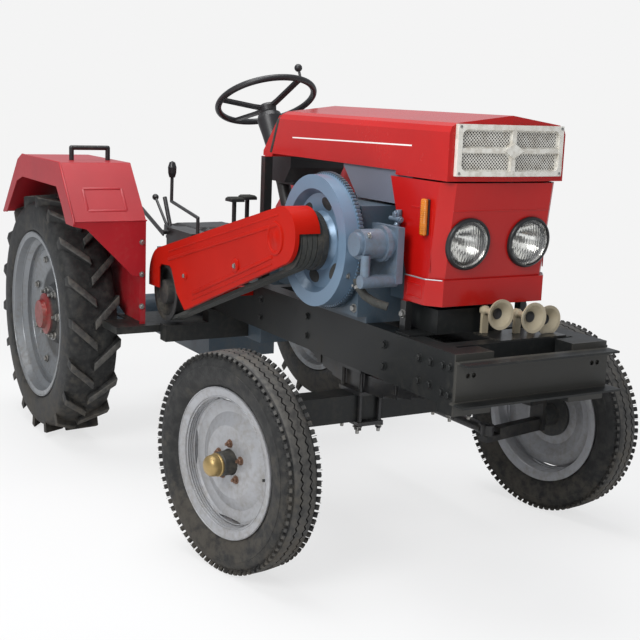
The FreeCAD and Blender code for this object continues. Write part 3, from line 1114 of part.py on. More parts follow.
def front_panel():
    shell = cut("PanelShell", panel_form("PanelOutside", "0"), panel_form("PanelInside", "sheet"))
    step, half = "band_step", "(hood_width / 2)"
    foot = f"({FRONT} + hood_front - panel_rake)"

    def ring(grow):
        return [(f"{FRONT} + panel_rear_bottom - 20", f"-({half} + {grow})"),
                (f"{foot} - panel_chamfer", f"-({half} + {grow})"), (f"{foot} + {grow}", f"-({half} + {grow} - panel_chamfer)"),
                (f"{foot} + {grow}", f"{half} + {grow} - panel_chamfer"), (f"{foot} - panel_chamfer", f"{half} + {grow}"),
                (f"{FRONT} + panel_rear_bottom - 20", f"{half} + {grow}")]

    band = slab("BandOutside", "XY_Plane", ring(step), "panel_bottom", "panel_ledge - panel_bottom")
    hollow = slab("BandInside", "XY_Plane", ring("(-sheet)"), "panel_bottom - 1", "panel_ledge - panel_bottom + 2")
    mouth = box("BandMouth", (f"{FRONT} + panel_rear_bottom - 30", f"{FRONT} + panel_rear_bottom + 10"),
                (f"-({half} - sheet)", f"{half} - sheet"), ("panel_bottom - 1", "panel_ledge + 1"))
    holes = [rod("LampHole", "x", "lamp_radius - 8", (f"{FRONT} + hood_front - 60", f"{side} * lamp_spread / 2",
                                                      "lamp_z"), "120") for side in SIDES.values()]
    brackets = []
    for side in SIDES.values():
        low, high = f"{half} - sheet", f"{half} + 18"
        across = (low, high) if side > 0 else (f"-({high})", f"-({low})")
        brackets.append(box("PanelBracket", (f"{FRONT} + panel_rear_bottom - 20", f"{FRONT} + panel_rear_bottom + 8"), across, (RAIL_TOP, "panel_bottom")))
    node("front_panel", cut("Panel", fuse("PanelShape", shell, cut("Band", band, hollow, mouth), *brackets), *holes))

    lamps = []
    for name, side in SIDES.items():
        lamp = lathe(f"Headlamp{name}",
                     [("0", "-lamp_depth"), ("24", "-lamp_depth"), ("lamp_radius - 14", "-20"),
                      ("lamp_radius - 14", "0.3"), ("lamp_radius + 7", "0.3"), ("lamp_radius + 7", "8"),
                      ("lamp_radius", "12"), ("lamp_radius - 8", "14"), ("30", "22"), ("0", "25")])
        face = f"({FRONT} + hood_front - panel_rake * (panel_top - lamp_z) / (panel_top - panel_ledge))"
        lamps.append(place(lamp, face, f"{side} * lamp_spread / 2", "lamp_z", axis=(0, 1, 0),
                           angle="90 + atan(panel_rake / (panel_top - panel_ledge)) / 1 deg"))
    node("headlamps", together("Headlamps", *lamps))

    marker = box("MarkerRight", (f"{FRONT} + 334", f"{FRONT} + 362"), ("-(hood_width / 2 + 20)", "-hood_width / 2"),
                 ("lamp_z + 18", "lamp_z + 18 + marker_height"))
    node("side_markers", together("Markers", marker, mirrored("MarkerLeft", marker)))


def front_fittings():
    case = box("BatteryCase", (f"{FRONT} + 235", f"{FRONT} + 385"), ("-177", "57"),
               (f"{RAIL_TOP} + 5", "panel_bottom - 13"))
    tray = box("BatteryTray", (f"{FRONT} + 295", f"{FRONT} + 365"), (f"-{RAIL_OUT} + 10", f"{RAIL_OUT} - 10"),
               (RAIL_TOP, f"{RAIL_TOP} + 5"))
    node("battery_box", fuse("Battery", case, tray))

    shelf = box("HornShelf", (f"{FRONT} + 388", f"{FRONT} + front_cross + cross_member"), ("-50", "190"),
                (RAIL_TOP, f"{RAIL_TOP} + 5"))
    horns = [shelf]
    for index, (mouth, y, rise) in enumerate(((484, -28, 72), (520, 62, 64), (480, 152, 44))):
        bell = lathe(f"Horn{index}", [("0", "0"), ("14", "0"), ("14", "14"), ("9", "18"), ("10", "44"), ("18", "62"),
                                      ("44", "80"), ("44", "84"), ("36", "82"), ("13", "62"), ("0", "58")])
        back = f"{FRONT} + {mouth} - 84"
        place(bell, back, f"{y}", f"{RAIL_TOP} + {rise}", axis=(0, 1, 0), angle="90")
        leg = box(f"HornLeg{index}", (f"{back} + 4", f"{back} + 14"), (f"{y} - 11", f"{y} + 11"),
                  (f"{RAIL_TOP} + 5", f"{RAIL_TOP} + {rise}"))
        horns += [bell, leg]
    node("horns", fuse("Horns", *horns))


# ---------------------------------------------------------------------------------------
# Driver's place
# ---------------------------------------------------------------------------------------
def dash():
    front = f"({FRONT} - hood_rear - hood_gap)"
    slope = "hood_slant / (hood_shoulder - hood_bottom)"
    top, low = f"({HINGE_Z} + 14)", "hood_bottom"
    top_x = f"({front} - {slope} * (hood_shoulder - {top}))"
    foot_x = f"({front} - hood_slant)"
    cowl = slab("Cowl", "XZ_Plane",
                [(foot_x, low), (top_x, top), (f"{top_x} - 14", top), (f"{top_x} - cowl_back", f"{low} + 17"),
                 (f"{top_x} - cowl_back", low)], "hood_width / 2 - 20", "hood_width - 40")
    back = f"({foot_x} + 30)"
    wall = slab("SidePanel", "XZ_Plane",
                [(back, RAIL_TOP), (back, low), (f"{back} - 120", low), (f"{back} - 330", f"{RAIL_TOP} + 190"),
                 (f"{back} - 330", RAIL_TOP)], f"{RAIL_IN} + 4", "4")
    posts = []
    for side in SIDES.values():
        across = (f"-({RAIL_IN} + 4)", f"-({RAIL_IN} - 26)") if side < 0 else (f"{RAIL_IN} - 26", f"{RAIL_IN} + 4")
        posts.append(box("DashPost", (f"{foot_x} - 30", foot_x), across, (RAIL_TOP, low)))
    hinge = []
    leaf_low = f"({HINGE_Z} - 12)"
    leaf_x = f"({front} - {slope} * (hood_shoulder - {leaf_low}) - 1)"
    for y in (-150, 70):
        for shift in (0.5, 60.5):
            hinge.append(rod("HingeBarrel", "y", "hinge_radius + 5", (HINGE_X, f"{y} + {shift}", HINGE_Z), "19"))
            hinge.append(box("HingeLeaf", (leaf_x, HINGE_X), (f"{y} + {shift}", f"{y} + {shift} + 19"),
                             (leaf_low, f"{leaf_low} + 6")))
        hinge.append(rod("HingePin", "y", "hinge_radius", (HINGE_X, f"{y}", HINGE_Z), "80"))
    node("dash_cowl", fuse("Dash", cowl, wall, *posts, *hinge))

    support = slab("Support", "XZ_Plane",
                   [(f"{foot_x}", low), (f"{foot_x} - 205", low), (f"{foot_x} - 165", f"{low} - 95"),
                    (f"{foot_x} - 45", f"{low} - 95"), (f"{foot_x}", f"{low} - 40")], "110", "220")
    node("column_support", support)


def column_point(down):
    """Formulas for the place on the column's axis at a distance below the wheel's hub."""
    return (f"({FRONT} - steering_wheel_x + {down} * sin(column_tilt))", "0",
            f"(steering_wheel_z - {down} * cos(column_tilt))")


def steering_column():
    """The column leans forward on its way down to the steering box."""
    length = "(steering_wheel_z - gearbox_top - 2) / cos(column_tilt)"
    tube = rod("ColumnTube", "z", "column_radius", ("0", "0", "0"), f"{length} - 62.3")
    shroud = lathe("ColumnShroud", [("0", "-62.3"), ("44", "-62.3"), ("50", "-80"), ("42", "-140"), ("30", "-260"),
                                    ("0", "-260")])
    place(tube, *column_point(length), axis=(0, 1, 0), angle="-column_tilt")
    place(shroud, *column_point("0"), axis=(0, 1, 0), angle="-column_tilt")
    back = f"({FRONT} - hood_rear - hood_gap - hood_slant)"
    arm = box("ColumnArm", (f"{back} - 260", f"{back} - 120"), ("-30", "30"),
              ("hood_bottom - 113", "hood_bottom - 95"))
    node("steering_column", fuse("Column", tube, shroud, arm))

    rear, front = f"{FRONT} - gearbox_front", f"{FRONT} - gearbox_front + 100"
    case = box("SteeringCase", (rear, front), ("-60", "150"), ("gearbox_top - 70", "gearbox_top + 10"))
    bearing = box("DropBearing", (rear, f"{rear} + 80"), ("60", f"{RAIL_OUT} - rail_wall"),
                  ("drop_arm_z - 40", "drop_arm_z + 40"))
    bore = rod("DropBore", "y", "drop_shaft_radius + fit", (f"{FRONT} - drop_arm_x", "120", "drop_arm_z"),
               f"{RAIL_OUT} - 120")
    socket = rod("ColumnSocket", "z", "column_radius + 0.3", ("0", "0", "0"), "120")
    place(socket, *column_point(length), axis=(0, 1, 0), angle="-column_tilt")
    node("steering_box", cut("SteeringBox", fuse("SteeringShape", case, bearing), bore, socket))


def steering_wheel():
    """A round rim on three spokes that slope down to a boss, with a knob to spin it by."""
    rim = doc.addObject("Part::Torus", "SteeringRim")
    bind(rim, Radius1="steering_wheel_radius", Radius2="steering_rim_radius")
    boss = lathe("SteeringBoss", [("0", "-62"), ("26", "-62"), ("31", "-50"), ("34", "-32"), ("30", "-22"),
                                  ("14", "-16"), ("0", "-16")])
    spoke = slab("Spoke", "XZ_Plane",
                 [("16", "-40"), ("60", "-32"), ("steering_wheel_radius - 3", "-6"), ("steering_wheel_radius - 3", "4"),
                  ("60", "-22"), ("16", "-28")], "12", "24")
    spokes = []
    for index, turn in enumerate((18, 198, 268)):
        turned = together(f"SpokeTurned{index}", spoke)
        turned.Placement = FreeCAD.Placement(Vector(), Rotation(Vector(0, 0, 1), turn))
        spokes.append(turned)
    at = ("steering_wheel_radius * cos(20)", "steering_wheel_radius * sin(20)")
    foot = rod("KnobFoot", "z", "5", (*at, "0"), "40")
    knob = doc.addObject("Part::Sphere", "Knob")
    knob.Radius = 15
    place(knob, *at, "48")
    wheel = fuse("SteeringWheel", rim, boss, foot, knob, *spokes)
    place(wheel, *column_point("0"), axis=(0, 1, 0), angle="-column_tilt")
    node("steering_wheel", wheel)


def fenders():
    front, brow = f"({REAR} + fender_front)", f"({REAR} + fender_brow)"
    back, hip, tail = f"({REAR} - fender_back)", f"({REAR} - fender_hip)", f"({REAR} - fender_tail)"
    crease, top = f"({HUB_REAR} + fender_crease)", f"({HUB_REAR} + fender_top)"
    hip_z, tail_z = f"({HUB_REAR} + fender_hip_rise)", f"({HUB_REAR} + fender_tail_rise)"
    foot = "(footboard_z + 26)"
    profile = [(tail, tail_z), (hip, hip_z), (back, top), (brow, top), (front, crease)]
    lining = [(f"{front} - 0.78 * sheet", f"{crease} - 0.64 * sheet"), (f"{brow} - 0.4 * sheet", f"{top} - sheet"),
              (back, f"{top} - sheet"), (f"{hip} + 0.6 * sheet", f"{hip_z} - sheet"),
              (f"{tail} + 1.2 * sheet", tail_z)]
    band = slab("FenderBand", "XZ_Plane", profile + lining, f"-{FENDER_IN}", f"{FENDER_OUT} - {FENDER_IN}")
    wall = slab("FenderWall", "XZ_Plane",
                profile + [(f"{front}", foot), (f"{REAR} + 420", foot), (f"{REAR} + 300", f"{HUB_REAR} + 100"),
                           (f"{REAR} - 200", f"{HUB_REAR} + 100")], f"-{FENDER_IN}", "sheet")
    skirt = slab("FenderSkirt", "XZ_Plane",
                 profile + [(front, f"{crease} - 16"), (f"{front} - 82", f"{crease} - 15"),
                            (f"{front} - 132", f"{crease} + 45"), (f"{brow} - 30", f"{top} - 90"),
                            (f"{back} + 10", f"{top} - 88"), (f"{hip} - 13", f"{hip_z} - 87"),
                            (f"{tail} + 58", f"{tail_z} + 3")], f"-({FENDER_OUT} - sheet)", "sheet")
    apron = slab("FenderApron", "YZ_Plane",
                 [(f"-{FENDER_OUT}", crease), (f"-{FENDER_OUT}", f"{crease} - 16"),
                  (f"-({FENDER_OUT} - 51)", f"{crease} - 28"), (f"-({FENDER_IN} + 53)", f"{crease} - 201"),
                  (f"-({FENDER_IN} + 22)", f"{crease} - 209"), (f"-({FENDER_IN} + 22)", foot), (f"-{FENDER_IN}", foot),
                  (f"-{FENDER_IN}", crease)], f"{front} - sheet", "sheet")
    bracket = box("FenderBracket", (f"{REAR} - 60", f"{REAR} + 60"), (f"-{FENDER_IN}", f"-({FENDER_IN} - 8)"),
                  (f"{HUB_REAR} + axle_tube_radius", f"{HUB_REAR} + 160"))
    fender = fuse("FenderRight", band, wall, skirt, apron, bracket)
    node("fender_right", fender)
    node("fender_left", mirrored("FenderLeft", fender))

    x, high = f"({REAR} + handle_ahead)", f"{top} + handle_rise - handle_radius"
    outer, inner = f"({FENDER_OUT} - 93)", f"({FENDER_IN} + 41)"
    bow = [rod("HandleBar", "y", "handle_radius", (x, f"-{outer}", high), f"{outer} - {inner}")]
    for y in (outer, inner):
        bow.append(rod("HandleLeg", "z", "handle_radius", (x, f"-{y}", top), "handle_rise - handle_radius"))
        ball = doc.addObject("Part::Sphere", "HandleCorner")
        bind(ball, Radius="handle_radius")
        bow.append(place(ball, x, f"-{y}", high))
    handle = fuse("HandleRight", *bow)
    node("fender_handles", together("Handles", handle, mirrored("HandleLeft", handle)))

    outer, inner, step = f"({FENDER_IN} + 126)", "(gearbox_width / 2)", f"({FENDER_IN} + 32)"
    short, long = f"({REAR} + rear_tyre_diameter / 2 + 14)", f"({REAR} + 400)"
    board = slab("FootboardPlate", "XY_Plane",
                 [(long, f"-{step}"), (short, f"-{step}"), (short, f"-{outer}"), (STEP_FRONT, f"-{outer}"),
                  (STEP_FRONT, f"-{inner}"), (long, f"-{inner}")], "footboard_z + 20", "6")
    lips = [box("FootboardLip", (f"{STEP_FRONT} - 6", STEP_FRONT), (f"-{outer}", f"-{inner}"),
                ("footboard_z", "footboard_z + 20")),
            box("FootboardEdge", (short, STEP_FRONT), (f"-{outer}", f"-({outer} - 6)"),
                ("footboard_z", "footboard_z + 20"))]
    board = fuse("FootboardRight", board, *lips)
    node("footboards", together("Footboards", board, mirrored("FootboardLeft", board)))


def seat():
    middle, half, width = f"({FRONT} - seat_x)", "seat_length / 2", "seat_width / 2"
    cushion = box("SeatCushion", (f"{middle} - {half}", f"{middle} + {half}"), (f"-{width}", width),
                  ("seat_z", "seat_z + seat_thickness"))
    node("seat_cushion", cushion)
    pan = box("SeatPan", (f"{middle} - {half} - 6", f"{middle} + {half} + 6"), (f"-({width} - 8)", f"{width} - 8"),
              ("seat_z - 12", "seat_z"))
    stem = box("SeatStem", (f"{middle} - 60", f"{middle} + 60"), ("-60", "60"), ("gearbox_top - 60", "seat_z - 12"))
    node("seat_bracket", fuse("SeatBracket", pan, stem))


def controls():
    y, top, post_x = "-(gearbox_width / 2 + 70)", f"({RAIL_TOP} + 100)", f"({FRONT} - 1108)"
    outer, inner = "-(gearbox_width / 2 + 105)", "-(gearbox_width / 2 + 20)"
    console = box("Console", (f"{FRONT} - 1478", f"{FRONT} - 1222"), (outer, inner), (RAIL_TOP, top))
    hub = box("StickHub", (f"{FRONT} - 1562", f"{FRONT} - 1470"), (f"{y} - 12", f"{y} + 12"), (f"{top} - 26", top))
    bend, seat_end = (f"{FRONT} - 1513", f"{top} + 102"), (f"{FRONT} - 1240", f"{top} - 10")
    pieces = [console, hub,
              leaning("ShiftRod", "7", seat_end, (f"{FRONT} - 1240.5", f"{top} + 62"), y),
              leaning("ShiftReach", "7", (f"{FRONT} - 1240", f"{top} + 62"), bend, y),
              leaning("ShiftStick", "7", bend, (f"{FRONT} - 1510", f"{top} + 210"), y),
              leaning("ThinStick", "6", (f"{FRONT} - 1555", f"{top} - 10"), (f"{FRONT} - 1691", f"{top} + 103"), y),
              leaning("ThickStick", "9", (f"{FRONT} - 1521", f"{top} - 10"), (f"{FRONT} - 1587", f"{top} + 112"), y)]
    for name, x, z, radius in (("ShiftBend", "1513", "102", "7"), ("ShiftElbow", "1240", "62", "7"),
                               ("ThinKnob", "1691", "103", "14")):
        ball = doc.addObject("Part::Sphere", name)
        bind(ball, Radius=radius)
        pieces.append(place(ball, f"{FRONT} - {x}", y, f"{top} + {z}"))
    knob = lathe("ShiftKnob", [("0", "0"), ("12", "0"), ("17", "18"), ("18", "42"), ("12", "62"), ("0", "68")])
    pieces.append(place(knob, f"{FRONT} - 1510", y, f"{top} + 202"))
    pivot = rod("BrakePivot", "y", "10", (f"{FRONT} - 1466", "-(gearbox_width / 2 + 127)", f"{top} - 20"), "40")
    handle = box("BrakeHandle", ("0", "260"), ("0", "6"), ("-9", "9"))
    handle = place(handle, f"{FRONT} - 1466", "-(gearbox_width / 2 + 125)", f"{top} - 20", axis=(0, 1, 0), angle="-162")
    node("gear_levers", fuse("Levers", *pieces, pivot, handle))

    shaft_x, shaft_z, half = f"({FRONT} - 1012)", "(gearbox_top - 30)", "(gearbox_width / 2)"
    shaft = rod("PedalShaft", "y", "11", (shaft_x, f"-({half} + 36)", shaft_z), "36")
    outer = box("OuterPedalArm", (f"{shaft_x} - 7", f"{shaft_x} + 7"), (f"-({half} + 27)", f"-({half} + 15)"),
                (shaft_z, "pedal_z + 4"))
    outer_pad = box("OuterPedal", (f"{shaft_x} - 25", f"{shaft_x} + 35"), (f"-({half} + 48)", f"-({half} - 6)"),
                    ("pedal_z", "pedal_z + 10"))
    inner = box("InnerPedalArm", (f"{shaft_x} - 19", f"{shaft_x} - 5"), (f"-({half} - 34)", f"-({half} - 46)"),
                ("gearbox_top", "pedal_z + 10"))
    inner_pad = box("InnerPedal", (f"{shaft_x} - 42", f"{shaft_x} + 18"), (f"-({half} - 15)", f"-({half} - 67)"),
                    ("pedal_z + 6", "pedal_z + 16"))
    node("pedals", together("Pedals", fuse("PedalOuter", shaft, outer, outer_pad),
                            fuse("PedalInner", inner, inner_pad)))


chassis()
front_bumper()
springs()
axle_beam()
for side_name, side_sign in SIDES.items():
    node(f"knuckle_{side_name}", knuckle(f"Knuckle{side_name.title()}", side_sign))
    front_wheel(side_name, side_sign)
    rear_wheel(side_name, side_sign)
steering_rods()
engine()
exhaust()
flywheel()
belt_drive()
belt_cover()
gearbox()
hood()
front_panel()
front_fittings()
dash()
steering_column()
steering_wheel()
fenders()
seat()
controls()

# ---------------------------------------------------------------------------------------
# Check every object and write one STEP file for each piece
# ---------------------------------------------------------------------------------------
doc.recompute()
for item in doc.Objects:
    if "Invalid" in item.State or "Error" in item.State:
        raise RuntimeError(f"{item.Name} did not recompute: {item.State}")
for label, thing in nodes.items():
    if thing.Shape.isNull() or not thing.Shape.isValid() or not thing.Shape.Solids:
        raise RuntimeError(f"{label} has no valid solid")
    thing.Shape.exportStep(f"parts/{label}.step")
print(len(nodes), "pieces written")
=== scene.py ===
# %% [markdown]
# # A compact tractor with its finishes and fittings
#
# The imported model already holds the tractor's solid pieces, each on the body that it moves with.
# This lesson gives every one of them a finish and adds the small forms that solids leave out,
# such as tread, bolts, lamp glass and pipes. First the model is loaded, and a tool is made that
# gives any part's box.

# %% Load the imported model
import json
import math

import bmesh
import bpy
from mathutils import Matrix, Vector


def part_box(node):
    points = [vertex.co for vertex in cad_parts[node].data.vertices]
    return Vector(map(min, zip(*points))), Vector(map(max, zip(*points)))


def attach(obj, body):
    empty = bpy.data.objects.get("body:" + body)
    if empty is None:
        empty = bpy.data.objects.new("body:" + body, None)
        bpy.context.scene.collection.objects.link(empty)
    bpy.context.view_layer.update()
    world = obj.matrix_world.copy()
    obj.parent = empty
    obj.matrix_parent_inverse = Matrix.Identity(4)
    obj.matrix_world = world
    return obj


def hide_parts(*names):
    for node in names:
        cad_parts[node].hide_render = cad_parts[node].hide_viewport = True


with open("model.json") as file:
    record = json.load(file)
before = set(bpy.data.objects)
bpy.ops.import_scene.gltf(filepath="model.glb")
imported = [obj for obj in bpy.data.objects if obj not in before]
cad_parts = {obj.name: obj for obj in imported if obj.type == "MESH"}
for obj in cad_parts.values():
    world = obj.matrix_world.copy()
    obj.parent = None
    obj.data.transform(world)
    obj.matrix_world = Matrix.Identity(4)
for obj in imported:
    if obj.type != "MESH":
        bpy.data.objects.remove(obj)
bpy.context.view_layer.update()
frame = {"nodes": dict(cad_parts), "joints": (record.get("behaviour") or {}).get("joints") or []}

# %% [markdown]
# Wheels and pulleys turn about joints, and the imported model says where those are. Everything that is
# bolted to a wheel is placed from its joint, so that it stays centred when the wheel turns.

# %% Places that the model gives
JOINTS = {joint["name"]: joint for joint in frame["joints"]}
REAR_AXLE = Vector(JOINTS["rear_axle_right"]["pos_m"])
CRANK = Vector(JOINTS["crankshaft"]["pos_m"])
print("rear axle:", REAR_AXLE[:], "crankshaft:", CRANK[:])

# %% [markdown]
# ## Camera and light
# The camera stands at the height of the hood, ahead of the front wheel and to the right, with a
# slightly long lens. Two big soft lamps and a pale world keep the light plain.

# %% Camera
LENS, SENSOR = 65.93, 36.0
CAMERA_PLACE = Vector((3.7717, -2.1104, 1.4225))
AZIMUTH, DOWN, ROLL = math.radians(59.842), math.radians(10.929), math.radians(2.176)


def aim(azimuth, down, roll):
    """The camera's axes as a turn, from its heading, its dip and its roll."""
    back = Vector((math.sin(azimuth) * math.cos(down), -math.cos(azimuth) * math.cos(down), math.sin(down)))
    level = (-back).cross(Vector((0, 0, 1))).normalized()
    upright = level.cross(-back)
    right = level * math.cos(roll) + upright * math.sin(roll)
    up = upright * math.cos(roll) - level * math.sin(roll)
    return Matrix((right, up, back)).transposed().to_4x4()


camera = bpy.data.objects.new("camera", bpy.data.cameras.new("camera"))
camera.data.lens, camera.data.sensor_width = LENS, SENSOR
camera.matrix_world = Matrix.Translation(CAMERA_PLACE) @ aim(AZIMUTH, DOWN, ROLL)
bpy.context.scene.collection.objects.link(camera)
bpy.context.scene.camera = camera
bpy.context.scene.view_settings.view_transform = "Standard"
print("camera at", tuple(round(v, 3) for v in camera.location))

# %% [markdown]
# A tractor in a yard is lit by a bright sky rather than by one hard sun. A large area lamp in front and
# a larger one above imitate that, because big lamps give soft shadows and broad highlights.

# %% Floor and lamps
floor_mesh = bpy.data.meshes.new("floor")
shape = bmesh.new()
bmesh.ops.create_grid(shape, x_segments=1, y_segments=1, size=30)
shape.to_mesh(floor_mesh)
shape.free()
floor = bpy.data.objects.new("floor", floor_mesh)
bpy.context.scene.collection.objects.link(floor)


def lamp(name, place, target, size, power):
    """A square soft lamp that looks at a point."""
    light = bpy.data.lights.new(name, "AREA")
    light.shape, light.size, light.energy = "SQUARE", size, power
    thing = bpy.data.objects.new(name, light)
    place, target = Vector(place), Vector(target)
    turn = (target - place).to_track_quat("-Z", "Y").to_matrix().to_4x4()
    thing.matrix_world = Matrix.Translation(place) @ turn
    bpy.context.scene.collection.objects.link(thing)


lamp("key_lamp", (3.0, -4.8, 4.6), (0, 0, 0.6), 3.0, 330)
lamp("top_lamp", (-0.6, -0.6, 6.0), (0, 0, 0.6), 4.0, 300)
print("lamps:", len(bpy.data.lights))

# %% [markdown]
# ## Shader sums
# A finish is a small network of nodes. Wiring it by hand hides the thought, so a socket is wrapped
# in a class with the usual operators, and every other node comes from one method.

# %% A wrapped socket
def sums(operation, reflected=False):
    """A method that adds a Math node; its reflected form swaps the two values."""
    if reflected:
        return lambda self, other: self.finish.node("Math", {"operation": operation}, other, self)
    return lambda self, other=None: self.finish.node("Math", {"operation": operation}, self, other)


class Wire:
    """One output of a node; a sum on it adds a Math node."""

    def __init__(self, finish, socket):
        self.finish, self.socket = finish, socket

    __add__, __radd__ = sums("ADD"), sums("ADD", reflected=True)
    __sub__, __rsub__ = sums("SUBTRACT"), sums("SUBTRACT", reflected=True)
    __mul__, __rmul__ = sums("MULTIPLY"), sums("MULTIPLY", reflected=True)
    __truediv__, __mod__, __abs__ = sums("DIVIDE"), sums("FLOORED_MODULO"), sums("ABSOLUTE")
    wave, root, larger = sums("SINE"), sums("SQRT"), sums("MAXIMUM")


# %% [markdown]
# A finish owns one material. Its node method adds a node of any type, and the short methods under it
# name the nodes that every finish needs: blends, clouds, soft steps, a coordinate and a relief.

# %% A finish
class Finish:
    """A material whose nodes are added by name."""

    def __init__(self, name, **constants):
        self.material = bpy.data.materials.new(name)
        self.material.use_nodes = True
        self.tree = self.material.node_tree
        self.shader = self.tree.nodes["Principled BSDF"]
        for socket, value in constants.items():
            self.shader.inputs[socket.replace("_", " ")].default_value = value
        self.place = self.node("TexCoord", out="Object")

    def node(self, kind, settings=None, *values, out=0, **named):
        """Add a node, set it up, fill its sockets in order or by name and wrap one output."""
        made = self.tree.nodes.new("ShaderNode" + kind)
        for key, value in (settings or {}).items():
            setattr(made, key, value)
        sockets = [(made.inputs[index], value) for index, value in enumerate(values)]
        sockets += [(made.inputs[key.replace("_", " ")], value) for key, value in named.items()]
        for socket, value in sockets:
            self.fill(socket, value)
        return Wire(self, made.outputs[out])

    def fill(self, socket, value):
        """Link a wrapped socket, or set a plain value."""
        if isinstance(value, Wire):
            self.tree.links.new(value.socket, socket)
        elif value is not None:
            socket.default_value = value

    def mix(self, share, first, second):
        """Blend two colours; a Mix node keeps its colour sockets behind those for other values."""
        return self.node("Mix", {"data_type": "RGBA"}, share, *[None] * 5, first, second, out=2)

    def noise(self, scale, detail=3.0, roughness=0.55, stretch=None):
        """Clouds of a scale, drawn out along an axis by a stretch."""
        where = self.node("Mapping", {}, Vector=self.place, Scale=stretch) if stretch else self.place
        return self.node("TexNoise", {}, Vector=where, Scale=scale, Detail=detail, Roughness=roughness)

    def step(self, value, low, high):
        """0 below low, 1 above high, smooth between."""
        return self.node("MapRange", {"interpolation_type": "SMOOTHSTEP"}, Value=value, From_Min=low,
                         From_Max=high)

    def axis(self, name):
        """One coordinate of the place on the piece."""
        return self.node("SeparateXYZ", {}, self.place, out=name)

    def bump(self, height, distance):
        """A relief of that depth where height is 1."""
        return self.node("Bump", {}, Height=height, Distance=distance)

    def set(self, **sockets):
        """Fill the shader's own sockets and hand the material back."""
        for key, value in sockets.items():
            self.fill(self.shader.inputs[key.replace("_", " ")], value)
        return self.material


# %% [markdown]
# ## Finishes
# Every surface of a machine that has stood outside has three layers: its own colour, which is never
# quite even, the dust that lies thicker low down, and a fine skin that breaks the highlights up.
# Both kinds of finish below follow that order, one for smooth paint and one for rough castings.

# %% Painted sheet and castings
PEEL = 0.0002


def painted(name, colour, dust_colour, rough=0.32, dust=0.5, coat=0.3, metal=0.0, wash=0.8, marks=(),
            gloss=0.4):
    """Smooth paint: faint clouding, dust that thickens low down and a fine orange-peel skin.
    Each mark gives a share and a colour that covers the paint there."""
    paint = Finish(name, Coat_Roughness=0.1, Metallic=metal, Specular_IOR_Level=gloss)
    cloud = paint.noise(3.0)
    fine = paint.noise(55.0, 6.0)
    streak = paint.noise(16.0, 4.0, 0.6, stretch=(1, 1, 0.18))
    low = 1 - paint.step(paint.axis("Z"), 0.3, 1.0)
    dusty = paint.step(fine * 0.4 + cloud * 0.35 + streak * 0.25 + low * 0.12, 0.52, 0.80) * dust
    deep = tuple(v * wash for v in colour[:3]) + (1,)
    shade = paint.mix(paint.step(cloud, 0.3, 0.7), deep, colour)
    for mark in marks:
        share, over = mark(paint)
        shade = paint.mix(share, shade, over)
    skin = paint.noise(260.0, 2.0)
    return paint.set(Base_Color=paint.mix(dusty, shade, dust_colour), Roughness=rough + dusty * 0.45,
                     Coat_Weight=coat - dusty * coat, Normal=paint.bump(skin, PEEL))


def cast(name, colour, dust_colour, metal=0.0, rough=0.55, lumps=90.0, depth=0.0012, dust=0.55):
    """A rough casting or moulding: sand texture, blotches and dust in its hollows."""
    iron = Finish(name, Metallic=metal, Specular_IOR_Level=0.4)
    lump = iron.noise(lumps, 6.0, 0.65)
    cloud = iron.noise(7.0)
    dusty = iron.step(cloud * 0.6 + lump * 0.4, 0.44, 0.68) * dust
    return iron.set(Base_Color=iron.mix(dusty, colour, dust_colour), Roughness=rough + dusty * 0.3,
                    Normal=iron.bump(lump, depth))


# %% [markdown]
# Some pieces carry a second colour: a thin line along the hood, a red hub in a silver wheel, black
# grips on steel levers. Each is a mark, a share that is worked out from the place on the piece.

# %% Marks
def between(finish, value, low, high, soft=0.001):
    """1 where a value lies between two limits."""
    return finish.step(value, low - soft, low + soft) * (1 - finish.step(value, high - soft, high + soft))


def away_from(finish, point, along=1.0):
    """Distance from a point, with the sideways part scaled."""
    moved = finish.node("VectorMath", {"operation": "SUBTRACT"}, finish.place, point)
    scaled = finish.node("VectorMath", {"operation": "MULTIPLY"}, moved, (1.0, along, 1.0))
    return finish.node("VectorMath", {"operation": "LENGTH"}, scaled, out="Value")


def hood_line(paint):
    """A thin pale line along both sides of the hood, which rises a little to the front."""
    along, up = paint.axis("X"), paint.axis("Z")
    rise = abs(up - along * 0.0185 - 1.2691)
    share = (1 - paint.step(rise, 0.0016, 0.0024)) * between(paint, along, 0.262, 0.975)
    return share * paint.step(abs(paint.axis("Y")), 0.200, 0.203), (0.80, 0.79, 0.76, 1)


def red_hub(paint):
    """The hub in the middle of the rear disc."""
    return 1 - paint.step(away_from(paint, REAR_AXLE, 0.0), 0.083, 0.086), (0.20, 0.008, 0.007, 1)


def shaded_disc_middle(paint):
    """The middle of the rear disc, darkened with painted shade of its deep dish."""
    share = 1 - paint.step(away_from(paint, REAR_AXLE, 0.0), 0.175, 0.205)
    return share * 0.88, (0.030, 0.032, 0.034, 1)


def pale_bumper_web(paint):
    """The web of the bumper, paler than the rest of the chassis paint."""
    return between(paint, paint.axis("X"), 1.322, 1.345, 0.004) * 0.8, (0.050, 0.048, 0.042, 1)


def dark_shelf(paint):
    """The shelf under the horns."""
    return 1 - paint.step(paint.axis("Z"), 0.7605, 0.7615), (0.02, 0.02, 0.019, 1)


def dark_feet(paint):
    """The posts under the cowl and the feet of the front panel."""
    along, up = paint.axis("X"), paint.axis("Z")
    posts = between(paint, along, 0.0485, 0.0800) * (1 - paint.step(up, 1.1980, 1.1990))
    brackets = paint.step(along, 0.970, 0.972) * (1 - paint.step(up, 0.8435, 0.8445))
    return posts.larger(brackets), (0.016, 0.016, 0.016, 1)


def black_knobs(paint):
    """The grips on the gear lever and on the smaller one."""
    share = 1 - paint.step(away_from(paint, (-0.786, -0.200, 1.092)), 0.042, 0.044)
    tip = 1 - paint.step(away_from(paint, (-0.967, -0.200, 0.958)), 0.0145, 0.0165)
    return share.larger(tip), (0.012, 0.012, 0.013, 1)


